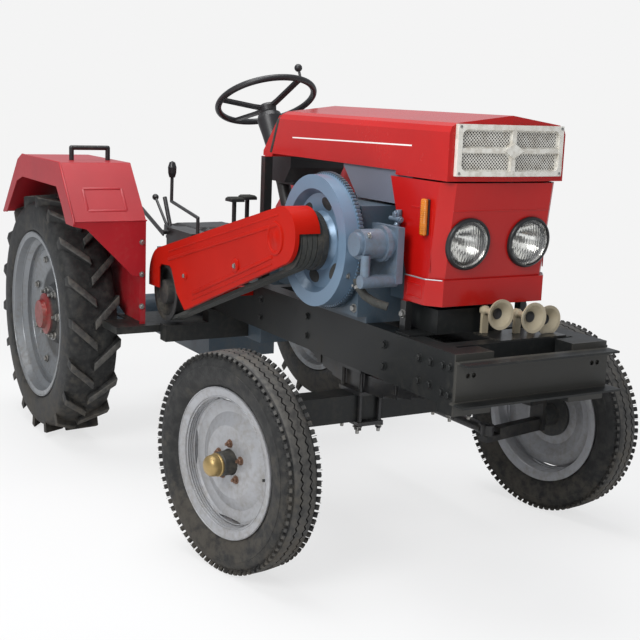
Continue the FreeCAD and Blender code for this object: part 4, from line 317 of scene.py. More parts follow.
# %% [markdown]
# Each paint is a colour, the colour of the dust on it and how it shines. The hood is the glossiest,
# the chassis is duller, and castings are rough even under a coat of paint.

# %% Paints and castings of this tractor
RED = (0.43, 0.0052, 0.0036, 1)
RED_DUST = (0.30, 0.062, 0.040, 1)
red_paint = painted("red_paint", RED, RED_DUST, rough=0.34, dust=0.25, coat=0.25, wash=0.84, gloss=0.25,
                    marks=[dark_feet])
cover_paint = painted("cover_paint", (0.40, 0.0080, 0.0026, 1), (0.26, 0.050, 0.028, 1), rough=0.42,
                      dust=0.25, coat=0.0, wash=0.84, gloss=0.08)
hood_paint = painted("hood_paint", RED, RED_DUST, rough=0.26, dust=0.22, coat=0.35, wash=0.86, gloss=0.25,
                     marks=[hood_line])
fender_paint = painted("fender_paint", (0.33, 0.008, 0.014, 1), (0.24, 0.075, 0.065, 1), rough=0.42,
                       dust=0.5, coat=0.15)
chassis_paint = painted("chassis_paint", (0.010, 0.011, 0.011, 1), (0.058, 0.053, 0.043, 1), rough=0.46,
                        dust=0.5, coat=0.05, gloss=0.3, marks=[pale_bumper_web])
black_paint = painted("black_paint", (0.014, 0.014, 0.015, 1), (0.085, 0.075, 0.058, 1), rough=0.4,
                      dust=0.5, coat=0.1)
rim_grey = painted("rim_grey", (0.33, 0.335, 0.350, 1), (0.19, 0.17, 0.14, 1), rough=0.40, dust=0.6,
                   coat=0.1, metal=0.35, wash=0.82)
rim_silver = painted("rim_silver", (0.19, 0.20, 0.21, 1), (0.12, 0.105, 0.085, 1), rough=0.38, dust=0.65,
                     coat=0.1, metal=0.4, marks=[shaded_disc_middle, red_hub])
tank_grey = painted("tank_grey", (0.145, 0.155, 0.195, 1), (0.14, 0.135, 0.13, 1), rough=0.4, dust=0.4,
                    coat=0.2, wash=0.9)
cream_paint = painted("cream_paint", (0.60, 0.59, 0.56, 1), (0.40, 0.34, 0.26, 1), rough=0.32, dust=0.35,
                      coat=0.25, wash=0.92)
horn_paint = painted("horn_paint", (0.42, 0.36, 0.25, 1), (0.24, 0.18, 0.10, 1), rough=0.34, dust=0.5,
                     coat=0.2, wash=0.78, marks=[dark_shelf])
# This blue is darker than the flywheel's because painted shade is mixed into its colour.
shaded_engine_blue = cast("shaded_engine_blue", (0.050, 0.075, 0.100, 1), (0.11, 0.11, 0.105, 1), rough=0.40,
                   depth=0.0006, dust=0.45)
wheel_blue = painted("wheel_blue", (0.160, 0.245, 0.345, 1), (0.15, 0.155, 0.145, 1), rough=0.34,
                     dust=0.45, coat=0.1, metal=0.25)
pump_alloy = cast("pump_alloy", (0.15, 0.20, 0.26, 1), (0.12, 0.12, 0.115, 1), metal=0.4, rough=0.36,
                  depth=0.0005, dust=0.5)
dark_iron = cast("dark_iron", (0.024, 0.025, 0.025, 1), (0.11, 0.095, 0.072, 1))
lever_steel = painted("lever_steel", (0.030, 0.030, 0.031, 1), (0.13, 0.11, 0.085, 1), rough=0.4,
                      dust=0.5, coat=0.1, marks=[black_knobs])
black_plastic = cast("black_plastic", (0.016, 0.016, 0.018, 1), (0.075, 0.070, 0.062, 1), rough=0.38,
                     lumps=420.0, depth=0.0002, dust=0.4)
vinyl = cast("vinyl", (0.018, 0.018, 0.019, 1), (0.06, 0.055, 0.048, 1), rough=0.42, lumps=700.0,
             depth=0.0003, dust=0.35)
bright_steel = painted("bright_steel", (0.34, 0.335, 0.32, 1), (0.18, 0.15, 0.11, 1), rough=0.32,
                       dust=0.6, coat=0.0, metal=0.9)
brass = cast("brass", (0.33, 0.235, 0.10, 1), (0.15, 0.11, 0.06, 1), metal=0.8, rough=0.42, depth=0.0003,
             dust=0.5)
copper_bolt = cast("copper_bolt", (0.16, 0.085, 0.055, 1), (0.14, 0.10, 0.07, 1), metal=0.5, rough=0.45,
                   depth=0.0004, dust=0.5)
belt_rubber = cast("belt_rubber", (0.026, 0.027, 0.025, 1), (0.085, 0.082, 0.070, 1), rough=0.7,
                   depth=0.0004, dust=0.6)
print("finishes:", len(bpy.data.materials))

# %% [markdown]
# Tyre rubber is matt and nearly black. Soil fills the grooves and dries brown on the parts that
# touched the ground, so the brown follows both a blotchy pattern and the height above the ground.
# The tread itself is rubbed grey by the road, so it gets a paler rubber of its own.

# %% Tyre rubber
def rubber(name, soil, dark=(0.010, 0.010, 0.010, 1), pale=(0.022, 0.022, 0.021, 1)):
    """Rubber with dried soil; soil from 0 to 1."""
    tyre = Finish(name, Specular_IOR_Level=0.3)
    cloud, lump = tyre.noise(9.0, 4.0), tyre.noise(140.0, 5.0, 0.65)
    worn = tyre.noise(38.0, 5.0, 0.6)
    low = 1 - tyre.step(tyre.axis("Z"), 0.02, 0.42)
    soiled = tyre.step(cloud * 0.5 + worn * 0.5 + low * 0.16, 0.50, 0.72) * soil
    shade = tyre.mix(tyre.step(worn, 0.35, 0.65), dark, pale)
    return tyre.set(Base_Color=tyre.mix(soiled, shade, (0.074, 0.064, 0.050, 1)),
                    Roughness=0.62 + soiled * 0.3, Normal=tyre.bump(lump, 0.0009))


tyre_rubber = rubber("tyre_rubber", 0.5)
tread_rubber = rubber("tread_rubber", 0.7, (0.038, 0.037, 0.035, 1), (0.078, 0.074, 0.067, 1))

# %% [markdown]
# The grille's panel is pierced by hundreds of small holes in slanted rows, in four fields round the
# middle bar, the rib and the boss. Cutting them would cost more faces than the rest of the tractor,
# so a pattern sinks them and darkens them with painted shade of the space behind the sheet.

# %% Pierced grille
def pierced(name, colour, pitch, share):
    """Sheet with round holes on a diagonal lattice across Y and Z, kept to four fields."""
    sheet_metal = Finish(name, Specular_IOR_Level=0.4, Coat_Weight=0.2)
    across, up = sheet_metal.axis("Y"), sheet_metal.axis("Z")
    first = abs(((across + up) / pitch) % 1.0 - 0.5)
    second = abs(((across - up) / pitch) % 1.0 - 0.5)
    away = (first * first + second * second).root()
    rise = abs(up - 1.285)
    field = between(sheet_metal, abs(across), 0.0105, 0.1645) * between(sheet_metal, rise, 0.0095, 0.0520)
    beside_boss = sheet_metal.step(abs(across) / 0.034 + rise / 0.021, 1.18, 1.24)
    hole = (1 - sheet_metal.step(away, share, share + 0.08)) * field * beside_boss
    grime = sheet_metal.noise(40.0, 4.0)
    shade = sheet_metal.mix(sheet_metal.step(grime, 0.42, 0.7) * 0.45, colour, (0.34, 0.29, 0.22, 1))
    # The holes' dark colour is painted shade of the space behind the sheet.
    return sheet_metal.set(Base_Color=sheet_metal.mix(hole, shade, (0.035, 0.030, 0.026, 1)),
                           Roughness=0.32 + hole * 0.5, Normal=sheet_metal.bump(1 - hole, 0.0025))


grille_mesh = pierced("grille_mesh", (0.68, 0.66, 0.60, 1), 0.0098, 0.30)

# %% [markdown]
# Lamp glass is clear, with fine upright ribs that spread the light. The ribs are far too fine to
# model, so a wave across the glass tilts its surface. The amber side lamps are the same, but tinted.

# %% Lamp glass
def ribbed(name, tint, pitch, through, axis="Y"):
    """Ribbed glass or clear plastic."""
    glass = Finish(name, Transmission_Weight=through, IOR=1.45)
    ribs = (glass.axis(axis) * (2 * math.pi / pitch)).wave()
    haze = glass.noise(30.0, 4.0)
    dim = tuple(v * 0.8 for v in tint[:3]) + (1,)
    return glass.set(Base_Color=glass.mix(glass.step(haze, 0.4, 0.7), tint, dim),
                     Roughness=0.06 + haze * 0.12, Normal=glass.bump(ribs, 0.00035))


lamp_glass = ribbed("lamp_glass", (0.99, 0.99, 0.98, 1), 0.0090, 1.0)
amber_glass = ribbed("amber_glass", (0.85, 0.26, 0.02, 1), 0.006, 0.35, axis="Z")
reflector = painted("reflector", (0.93, 0.93, 0.91, 1), (0.80, 0.78, 0.70, 1), rough=0.10, dust=0.2,
                    coat=0.0, metal=0.9)

# %% [markdown]
# A tractor is painted in groups: the chassis black, the sheet metal red, the engine blue. So one table
# lists the nodes under each finish, and whatever it leaves out gets dark iron.

# %% Give every node its finish
FINISHES = {
    red_paint: ("front_panel", "dash_cowl"),
    cover_paint: ("belt_cover",),
    hood_paint: ("hood",),
    fender_paint: ("fender_right", "fender_left"),
    chassis_paint: ("frame_rail_right", "frame_rail_left", "cross_members", "spring_hangers",
                    "bumper_channel", "front_axle_beam", "footboards", "battery_box", "drawbar"),
    black_paint: ("knuckle_right", "knuckle_left", "tie_rod", "drag_link", "drop_arm", "spring_clamps",
                  "leaf_springs", "fender_handles", "seat_bracket", "air_cleaner", "pedals",
                  "column_support"),
    tank_grey: ("fuel_tank",),
    rim_grey: ("front_wheel_right", "front_wheel_left"),
    rim_silver: ("rear_wheel_right", "rear_wheel_left"),
    wheel_blue: ("flywheel",),
    shaded_engine_blue: ("engine_block", "gearbox", "rear_axle_housing", "steering_box"),
    pump_alloy: ("coolant_pump",),
    lever_steel: ("gear_levers",),
    tyre_rubber: ("front_tyre_right", "front_tyre_left", "rear_tyre_right", "rear_tyre_left"),
    belt_rubber: ("drive_belts",),
    black_plastic: ("steering_wheel", "steering_column", "seat_cushion"),
    horn_paint: ("horns",),
    grille_mesh: ("grille",),
}
plain = set(frame["nodes"])
for finish, names in FINISHES.items():
    for name in names:
        frame["nodes"][name].data.materials.clear()
        frame["nodes"][name].data.materials.append(finish)
        plain.discard(name)
for name in plain:
    frame["nodes"][name].data.materials.clear()
    frame["nodes"][name].data.materials.append(dark_iron)
print("on the shared dark finish:", sorted(plain))

# %% [markdown]
# ## White ground
# The tractor stands on an almost white ground. The world and the far floor show one plain white to
# the camera, and near the wheels the floor still takes a soft shadow. The world's nodes are added by
# the same method as a finish's.

# %% Floor and world finishes
WHITE = (0.905, 0.905, 0.905, 1)
ground = Finish("pale_floor", Roughness=0.9)
ground.set(Base_Color=(0.80, 0.80, 0.80, 1))
glow = ground.node("Emission", {}, Color=WHITE, Strength=1.0)
far = ground.step(ground.node("VectorMath", {"operation": "LENGTH"}, ground.place, out="Value"), 1.3, 3.2)
camera_ray = ground.node("LightPath", {}, out="Is Camera Ray")
share = camera_ray * (far * 0.22 + 0.78)
shown = ground.node("MixShader", {}, share, Wire(ground, ground.shader.outputs[0]), glow)
ground.fill(ground.tree.nodes["Material Output"].inputs["Surface"], shown)
floor.data.materials.append(ground.material)


class Sky(Finish):
    """The world, with nodes that are added in the same way."""

    def __init__(self, name):
        self.world = bpy.data.worlds.new(name)
        self.world.use_nodes = True
        self.tree = self.world.node_tree


sky = Sky("pale_world")
bpy.context.scene.world = sky.world
straight = sky.node("LightPath", out="Is Camera Ray")
through_glass = sky.node("LightPath", out="Is Transmission Ray")
seen = sky.node("Math", {"operation": "ADD", "use_clamp": True}, straight, through_glass)
soft = sky.node("Background", {}, Color=(0.90, 0.94, 1.0, 1), Strength=0.52)
white = sky.node("Background", {}, Color=WHITE, Strength=1.0)
sky.fill(sky.tree.nodes["World Output"].inputs["Surface"], sky.node("MixShader", {}, seen, soft, white))
print("white ground is ready")

# %% [markdown]
# ## Tools for small forms
# Bolts, rings, tubes and pads come back on every machine. Each tool below adds one such form to an
# open mesh, so that many of them can be joined into a single piece, and `piece` closes that mesh,
# gives it a finish and hangs it on the body that it moves with.

# %% Forms that repeat
def turned(axis):
    """The turn that brings Z onto an axis."""
    return Vector(axis).to_track_quat("Z", "Y").to_matrix().to_4x4()


def placed(centre, axis):
    """A place with Z along an axis."""
    return Matrix.Translation(Vector(centre)) @ turned(axis)


def since(shape, before):
    """The points that a mesh has gained."""
    return [vert for vert in shape.verts if vert not in before]


def spin(shape, profile, matrix, steps=48):
    """Turn an outline of (radius, height) about the matrix's Z."""
    before = set(shape.verts)
    ring = [shape.verts.new((radius, 0, height)) for radius, height in profile]
    edges = [shape.edges.new(pair) for pair in zip(ring, ring[1:])]
    bmesh.ops.spin(shape, geom=ring + edges, cent=(0, 0, 0), axis=(0, 0, 1), angle=2 * math.pi, steps=steps,
                   use_merge=True)
    bmesh.ops.remove_doubles(shape, verts=since(shape, before), dist=1e-6)
    bmesh.ops.transform(shape, matrix=matrix, verts=since(shape, before))


# %% [markdown]
# Most fittings are rounded blocks, bolts and tubes. A bevel takes the edge off a block, a bolt is a
# six-sided cone on a washer, and a tube bridges rings that stand along a line of points.

# %% Blocks, bolts and tubes
def block(shape, low, high, rounding=0.0, segments=2, matrix=None):
    """A block between two corners with rounded edges."""
    before = set(shape.verts)
    size, middle = Vector(high) - Vector(low), (Vector(high) + Vector(low)) / 2
    made = bmesh.ops.create_cube(shape, size=1,
                                 matrix=Matrix.Translation(middle) @ Matrix.Diagonal((*size, 1)))
    if rounding:
        edges = list({edge for vert in made["verts"] for edge in vert.link_edges})
        bmesh.ops.bevel(shape, geom=edges, offset=rounding, segments=segments, profile=0.5, material=-1,
                        affect="EDGES")
    if matrix is not None:
        bmesh.ops.transform(shape, matrix=matrix, verts=since(shape, before))


def bolt(shape, centre, axis, size=0.016, washer=True, stud=0.0):
    """A six-sided head, size across its flats, on a washer, with the end of its stud."""
    radius, height = size / math.sqrt(3), size * 0.42
    base = placed(centre, axis)

    def lifted(distance):
        return base @ Matrix.Translation((0, 0, distance))

    if washer:
        bmesh.ops.create_cone(shape, cap_ends=True, segments=16, radius1=size * 0.78, radius2=size * 0.74,
                              depth=size * 0.14, matrix=lifted(size * 0.07))
    head = bmesh.ops.create_cone(shape, cap_ends=True, segments=6, radius1=radius, radius2=radius,
                                 depth=height, matrix=lifted(size * 0.14 + height / 2))
    top = max((face for face in {f for v in head["verts"] for f in v.link_faces}),
              key=lambda face: face.calc_center_median().dot(Vector(axis)))
    bmesh.ops.bevel(shape, geom=list(top.edges), offset=size * 0.09, segments=1, profile=0.5, material=-1,
                    affect="EDGES")
    if stud:
        bmesh.ops.create_cone(shape, cap_ends=True, segments=10, radius1=size * 0.32, radius2=size * 0.27,
                              depth=stud, matrix=lifted(size * 0.14 + height + stud / 2 - 0.001))


def pipe(shape, points, radius, sides=12):
    """A tube through points, with flat ends."""
    points = [Vector(point) for point in points]
    rings = []
    for index, point in enumerate(points):
        heading = points[min(index + 1, len(points) - 1)] - points[max(index - 1, 0)]
        made = bmesh.ops.create_circle(shape, cap_ends=False, segments=sides, radius=radius,
                                       matrix=placed(point, heading))
        rings.append(list({edge for vert in made["verts"] for edge in vert.link_edges}))
    for first, second in zip(rings, rings[1:]):
        bmesh.ops.bridge_loops(shape, edges=first + second)
    bmesh.ops.holes_fill(shape, edges=rings[0] + rings[-1], sides=0)


# %% [markdown]
# A mesh is only a piece of the tractor once it has a name, a finish and a body to ride on. Curved
# faces are shaded smooth, and edges that turn more than an angle stay sharp, as on the real metal.

# %% A finished piece
def piece(name, shape, finish, body="chassis", stands_for=(), sharp=35):
    """Close a mesh, give it its finish and hang it on its body."""
    bmesh.ops.recalc_face_normals(shape, faces=shape.faces)
    mesh = bpy.data.meshes.new(name)
    shape.to_mesh(mesh)
    shape.free()
    mesh.shade_smooth()
    mesh.set_sharp_from_angle(angle=math.radians(sharp))
    mesh.materials.append(finish)
    thing = bpy.data.objects.new(name, mesh)
    bpy.context.scene.collection.objects.link(thing)
    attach(thing, body)
    if stands_for:
        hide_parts(*stands_for)
    print(name, len(mesh.polygons), "faces")
    return thing


# %% [markdown]
# ## Front tyres
# A ribbed tyre for steering: two zigzag grooves run round the tread, short blocks stand on each
# shoulder, and the moulding vents leave thin rubber hairs. The section is turned, and the groove's
# points are then pushed sideways by a wave, which is how the zigzag arises from a plain groove.

# %% Where the wheels stand
WHEELS = {}
for end in ("front", "rear"):
    for side, sign in (("right", -1), ("left", 1)):
        axle = JOINTS[f"{end}_axle_{side}"]
        WHEELS[f"{end}_{side}"] = placed(axle["pos_m"], sign * Vector(axle["axis"]))
print({name: [round(v, 3) for v in place.translation] for name, place in WHEELS.items()})

# %% [markdown]
# The half section runs from the bead over the side wall to the middle of the tread, and mirroring it
# gives the whole. Blocks with rounded edges then stand slanted on both shoulders, between the zigzags.

# %% Front tyre
HALF_SECTION = [(0.217, 0.0385), (0.2335, 0.0425), (0.2400, 0.0485), (0.2500, 0.0550), (0.2640, 0.0600),
                (0.2780, 0.0616), (0.2900, 0.0618), (0.2925, 0.0620), (0.2940, 0.0602), (0.3050, 0.0590),
                (0.3120, 0.0560), (0.3180, 0.0520), (0.3240, 0.0465), (0.3290, 0.0400), (0.3325, 0.0345),
                (0.3340, 0.0290), (0.3343, 0.0195), (0.3338, 0.0190), (0.3255, 0.0180), (0.3250, 0.0145),
                (0.3340, 0.0135), (0.3346, 0.0130), (0.3350, 0.0)]
ZIGZAGS, FRONT_TREAD = 84, 0.3280
GROOVE = (0.010, 0.0265)
SWAY = 0.0040


def tread_faces(shape, radius):
    """Give every face outside a radius the second finish."""
    for face in shape.faces:
        if min(math.hypot(vert.co.x, vert.co.y) for vert in face.verts) > radius:
            face.material_index = 1


def front_tyre(side):
    """The turned tyre, with its grooves pushed to a zigzag and blocks on both shoulders."""
    wheel, body = WHEELS["front_" + side], f"front_{side}_wheel"
    shape = bmesh.new()
    section = HALF_SECTION + [(radius, -height) for radius, height in HALF_SECTION[-2::-1]]
    spin(shape, section, Matrix(), steps=2 * ZIGZAGS)
    for vert in shape.verts:
        if GROOVE[0] < abs(vert.co.z) < GROOVE[1]:
            turn = math.atan2(vert.co.y, vert.co.x) / math.pi * ZIGZAGS
            vert.co.z += SWAY if round(turn) % 2 else -SWAY
    for index in range(ZIGZAGS):
        turn = Matrix.Rotation(2 * math.pi * (index + 0.5) / ZIGZAGS, 4, "Z")
        for half in (1, -1):
            lean = Matrix.Rotation(-half * math.radians(43), 4, "Y")
            block(shape, (-0.0145, -0.0072, -0.0050), (0.0145, 0.0072, 0.0050), 0.0016, 1,
                  turn @ Matrix.Translation((0.3205, 0, half * 0.0462)) @ lean)
    tread_faces(shape, FRONT_TREAD)
    bmesh.ops.transform(shape, matrix=wheel, verts=shape.verts)
    tyre = piece(f"front_tyre_{side}_tread", shape, tyre_rubber, body, [f"front_tyre_{side}"])
    tyre.data.materials.append(tread_rubber)


front_tyre("right")
front_tyre("left")

# %% [markdown]
# A mould has small holes that let the air out, and rubber that creeps into them stays on a new tyre as
# hairs. Each is a cone with five sides, since there are hundreds of them and all are thin.

# %% Rubber hairs
HAIRS = 126


def hairs(side):
    """Thin spikes on both shoulders, where air left the mould."""
    shape = bmesh.new()
    for index in range(HAIRS):
        turn = Matrix.Rotation(2 * math.pi * index / HAIRS, 4, "Z")
        for half in (1, -1):
            lean = Matrix.Rotation(half * math.radians(58 - 15 * (index % 3)), 4, "Y")
            root = (0.3180 + 0.003 * (index % 2), 0, half * 0.0570)
            bmesh.ops.create_cone(shape, cap_ends=True, segments=5, radius1=0.0010, radius2=0.0005,
                                  depth=0.019, matrix=turn @ Matrix.Translation(root) @ lean)
    bmesh.ops.transform(shape, matrix=WHEELS["front_" + side], verts=shape.verts)
    piece(f"front_tyre_{side}_hairs", shape, tyre_rubber, f"front_{side}_wheel")


hairs("right")
hairs("left")

# %% [markdown]
# ## Rear tyres
# The drive tyres carry slanted bars that meet in the middle of the tread like a herringbone. Each bar
# starts as a cube that is stretched and sheared by one matrix; its edges are then rounded, because
# moulded rubber has no sharp edges, and it is set round the carcass eighteen times on each half.

# %% Rear tyre
REAR_SECTION = [(0.3204, 0.0866), (0.3405, 0.0868), (0.3420, 0.0905), (0.3480, 0.0965), (0.3600, 0.1005),
                (0.3760, 0.1022), (0.3900, 0.1028), (0.4120, 0.1016), (0.4300, 0.0996), (0.4420, 0.0970),
                (0.4500, 0.0925), (0.4560, 0.0840), (0.4610, 0.0710), (0.4645, 0.0560), (0.4650, 0.0300),
                (0.4650, 0.0)]
BARS, CARCASS, REAR_TREAD = 18, 0.461, 0.4770
BAR_HEIGHT, BAR_WIDTH, BAR_REACH, BAR_SLANT = 0.050, 0.034, 0.102, 0.096


def rear_tyre(side):
    """The turned carcass with slanted bars on both halves; the two wheels mirror each other."""
    wheel, body = WHEELS["rear_" + side], f"rear_{side}_wheel"
    slant = BAR_SLANT if side == "right" else -BAR_SLANT
    shape = bmesh.new()
    spin(shape, REAR_SECTION + [(radius, -height) for radius, height in REAR_SECTION[-2::-1]], Matrix(),
         steps=108)
    for half, phase in ((1, 0), (-1, 0.5)):
        for index in range(BARS):
            bar = Matrix(((0, 0, BAR_HEIGHT, CARCASS), (BAR_WIDTH, slant, 0, 0),
                          (0, half * BAR_REACH, 0, half * 0.046), (0, 0, 0, 1)))
            before = set(shape.verts)
            made = bmesh.ops.create_cube(shape, size=1, matrix=bar)
            ends = list({edge for vert in made["verts"] for edge in vert.link_edges})
            bmesh.ops.bevel(shape, geom=ends, offset=0.0045, segments=2, profile=0.5, material=-1,
                            affect="EDGES")
            turn = Matrix.Rotation(2 * math.pi * (index + phase) / BARS, 4, "Z")
            bmesh.ops.transform(shape, matrix=turn, verts=since(shape, before))
    tread_faces(shape, REAR_TREAD)
    bmesh.ops.transform(shape, matrix=wheel, verts=shape.verts)
    tyre = piece(f"rear_tyre_{side}_lugs", shape, tyre_rubber, body, [f"rear_tyre_{side}"],
                 sharp=50)
    tyre.data.materials.append(tread_rubber)


rear_tyre("right")
rear_tyre("left")

# %% [markdown]
# ## Wheel fittings
# The front discs are bolted to their hubs by studs with tall nuts, and a domed brass cap keeps the
# grease in. Each front rim carries a valve. All bolts of one wheel are joined, since they turn together.

# %% Front wheel bolts, hub caps and valves
def round_bolts(shape, wheel, count, radius, height, size, phase=0.0, stud=0.0):
    """Bolts on a circle round a wheel's axle."""
    for index in range(count):
        turn = math.radians(phase) + 2 * math.pi * index / count
        place = wheel @ Vector((radius * math.cos(turn), radius * math.sin(turn), height))
        bolt(shape, place, wheel.to_3x3() @ Vector((0, 0, 1)), size, stud=stud)


STEM = ((0.196, 0, 0.012), (0.196, 0, 0.026), (0.190, 0, 0.044))
for side in ("right", "left"):
    wheel, body = WHEELS["front_" + side], f"front_{side}_wheel"
    shape = bmesh.new()
    round_bolts(shape, wheel, 5, 0.0570, 0.0200, 0.017, 18, stud=0.008)
    piece(f"front_wheel_{side}_nuts", shape, copper_bolt, body)
    shape = bmesh.new()
    spin(shape, [(0.0350, 0.0640), (0.0355, 0.0690), (0.0330, 0.0712), (0.0325, 0.0840), (0.0305, 0.0930),
                 (0.0255, 0.0990), (0.0180, 0.1030), (0.0090, 0.1052), (0.0, 0.1058)], wheel, 40)
    piece(f"front_hub_{side}_cap", shape, brass, body)
    shape = bmesh.new()
    pipe(shape, [wheel @ Vector(point) for point in STEM], 0.0042)
    piece(f"front_wheel_{side}_valve", shape, belt_rubber, body)

# %% [markdown]
# A rolled rim has ridges where the sheet was folded, and they catch the light as thin bright circles.

# %% Rolled ridges on the rims
FRONT_ROLL = ((-0.0022, -0.0004), (-0.0012, 0.0018), (0.0004, 0.0020), (0.0016, -0.0002))
WELL_ROLL = ((0, -0.0034), (-0.0034, -0.0018), (-0.0042, 0), (-0.0034, 0.0018), (0, 0.0034))
REAR_ROLL = ((-0.0030, -0.0006), (-0.0014, 0.0022), (0.0008, 0.0024), (0.0022, -0.0004))


def rolled(shape, wheel, outline, circles, steps):
    """One small outline turned at several radii and heights."""
    for radius, height in circles:
        spin(shape, [(radius + across, height + rise) for across, rise in outline], wheel, steps)


for side in ("right", "left"):
    shape = bmesh.new()
    front, rear = WHEELS["front_" + side], WHEELS["rear_" + side]
    rolled(shape, front, FRONT_ROLL, ((0.2275, 0.0465), (0.2020, 0.0412), (0.1905, 0.0152)), 96)
    rolled(shape, front, WELL_ROLL, ((0.2000, 0.0345), (0.2000, 0.0265), (0.2000, 0.0185)), 96)
    piece(f"front_rim_{side}_ridges", shape, rim_grey, f"front_{side}_wheel")
    shape = bmesh.new()
    rolled(shape, rear, REAR_ROLL, ((0.3350, 0.0946), (0.3100, 0.0640), (0.2700, 0.0290)), 108)
    piece(f"rear_rim_{side}_ridges", shape, rim_silver, f"rear_{side}_wheel")
    shape = bmesh.new()
    round_bolts(shape, rear, 6, 0.098, 0.0302, 0.024, stud=0.014)
    round_bolts(shape, rear, 8, 0.228, 0.0215, 0.020, 22.5)
    piece(f"rear_wheel_{side}_nuts", shape, bright_steel, f"rear_{side}_wheel")

# %% [markdown]
# ## Lamps
# Each headlamp is a steel bowl with a dark rim, a bright reflector, a small bulb and a domed lens.
# They are turned on the lamp's own slightly dipped axis. The clear lens is what makes a lamp look real,
# so its bowl is kept as a separate piece that the light can reach.

# %% Headlamps
LAMP_AXIS = Vector((0.9934, 0, -0.1155))
LAMP_AHEAD, LAMP_ASIDE, LAMP_HEIGHT = 1.135, 0.109, 1.022
shells, bowls, bulbs, lenses = bmesh.new(), bmesh.new(), bmesh.new(), bmesh.new()
for sign in (-1, 1):
    lamp_place = placed((LAMP_AHEAD, sign * LAMP_ASIDE, LAMP_HEIGHT), LAMP_AXIS)
    spin(shells, [(0, -0.070), (0.024, -0.070), (0.054, -0.020), (0.054, 0.0003), (0.0750, 0.0003),
                  (0.0750, 0.0075), (0.0738, 0.0100), (0.0712, 0.0122), (0.0690, 0.0132),
                  (0.0672, 0.0134), (0.0662, 0.0122), (0.0660, 0.0040), (0.0550, -0.0170),
                  (0.0240, -0.0650), (0, -0.0660)], lamp_place, 64)
    spin(bowls, [(0.0655, 0.0060), (0.0550, -0.0100), (0.0460, -0.0240), (0.0350, -0.0380),
                 (0.0220, -0.0480), (0.0100, -0.0530), (0, -0.0540)], lamp_place, 64)
    spin(bulbs, [(0.0070, -0.0530), (0.0075, -0.0420), (0.0105, -0.0300), (0.0105, -0.0200),
                 (0.0060, -0.0120), (0, -0.0095)], lamp_place, 24)
    spin(lenses, [(0, 0.0248), (0.0150, 0.0240), (0.0300, 0.0216), (0.0430, 0.0182), (0.0550, 0.0144),
                  (0.0658, 0.0102), (0.0658, 0.0082), (0.0550, 0.0118), (0.0420, 0.0152),
                  (0.0290, 0.0188), (0.0150, 0.0211), (0, 0.0219)], lamp_place, 64)
piece("headlamp_shells", shells, black_paint, stands_for=["headlamps"])
piece("headlamp_bowls", bowls, reflector)
piece("headlamp_bulbs", bulbs, bright_steel)
piece("headlamp_lenses", lenses, lamp_glass)

# %% [markdown]
# A side marker is an amber cap on a black base. Rounding the cap's edges strongly makes the plastic
# look moulded, and the base is left a little smaller, so that a dark gap shows round the cap.

# %% Side markers
bases, ambers = bmesh.new(), bmesh.new()
for sign in (-1, 1):
    inner, outer = sorted((sign * 0.205, sign * 0.2115))
    block(bases, (1.0600, inner, 1.042), (1.0840, outer, 1.144), 0.003)
    inner, outer = sorted((sign * 0.2110, sign * 0.2250))
    block(ambers, (1.0590, inner, 1.0410), (1.0850, outer, 1.1450), 0.0066, 3)
piece("side_marker_bases", bases, black_plastic, stands_for=["side_markers"])
piece("side_marker_glasses", ambers, amber_glass)

# %% [markdown]
# A horn looks hollow because its throat lies in shade. A shallow black dish inside each mouth stands
# for that shade as painted shade, without cutting the horn's own mesh.

# %% Throats of the horns
shape = bmesh.new()
THROAT = ((0.0162, 0.0658), (0.0135, 0.0634), (0.0060, 0.0610), (0, 0.0602))
for horn in ((1.124, -0.028, 0.827), (1.160, 0.062, 0.819), (1.120, 0.152, 0.799)):
    spin(shape, THROAT, placed(horn, (1, 0, 0)), 32)
piece("horn_throats", shape, black_plastic)

# %% [markdown]
# ## Flywheel, pump and belts
# The engine lies low on its side, so the flywheel faces outwards. A ring of teeth meets the starter on
# its inner edge, and oval holes lighten its dish. The pump beside it is held by a row of bolts.

# %% Flywheel teeth and holes
TEETH, HOLES = 104, 6
DISH_TILT = math.radians(-8.6)
face = placed((CRANK.x, -0.310, CRANK.z), (0, -1, 0))
teeth = bmesh.new()
for index in range(TEETH):
    turn = Matrix.Rotation(2 * math.pi * index / TEETH, 4, "Z")
    bmesh.ops.create_cube(teeth, size=1, matrix=face @ turn @ Matrix.Translation((0.2035, 0, 0.0080))
                          @ Matrix.Diagonal((0.009, 0.0058, 0.0125, 1)))
piece("flywheel_teeth", teeth, shaded_engine_blue, "flywheel")

# The holes are not cut: dark discs on the dish stand for them, coloured with painted shade of the space
# behind.
holes = bmesh.new()
for index in range(HOLES):
    turn = face @ Matrix.Rotation(2 * math.pi * index / HOLES + math.radians(15), 4, "Z")
    stretch = turn @ Matrix.Translation((0.117, 0, 0.0298)) @ Matrix.Rotation(DISH_TILT, 4, "Y")
    spin(holes, [(0.0310, -0.0010), (0.0308, 0.0008), (0.0285, 0.0012), (0, 0.0012)],
         stretch @ Matrix.Diagonal((0.60, 1, 1, 1)), 32)
piece("flywheel_holes", holes, dark_iron, "flywheel")

nuts = bmesh.new()
round_bolts(nuts, face, 6, 0.044, 0.0520, 0.017, 10)
piece("flywheel_bolts", nuts, bright_steel, "flywheel")

# %% [markdown]
# The pump's cover is held by bolts round its rim. Their depth is measured from the pump's own box, so
# that the heads sit on the cover.

# %% Pump bolts
low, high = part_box("coolant_pump")
print("pump box:", [round(v, 3) for v in (*low, *high)])
pump = bmesh.new()
for along, up in ((0.892, 0.905), (0.892, 1.035), (0.998, 0.905), (0.998, 1.035), (0.945, 0.893)):
    bolt(pump, (along, low[1] + 0.030, up), (0, -1, 0), 0.013)
piece("pump_bolts", pump, bright_steel)

# %% [markdown]
# ## Sheet metal
# Large pressings are stiffened by beads, and every free edge is rolled. On the belt cover two long
# beads and two thin lines follow the edges, a ring marks the crankshaft, and two small domes carry the
# fixing screws.

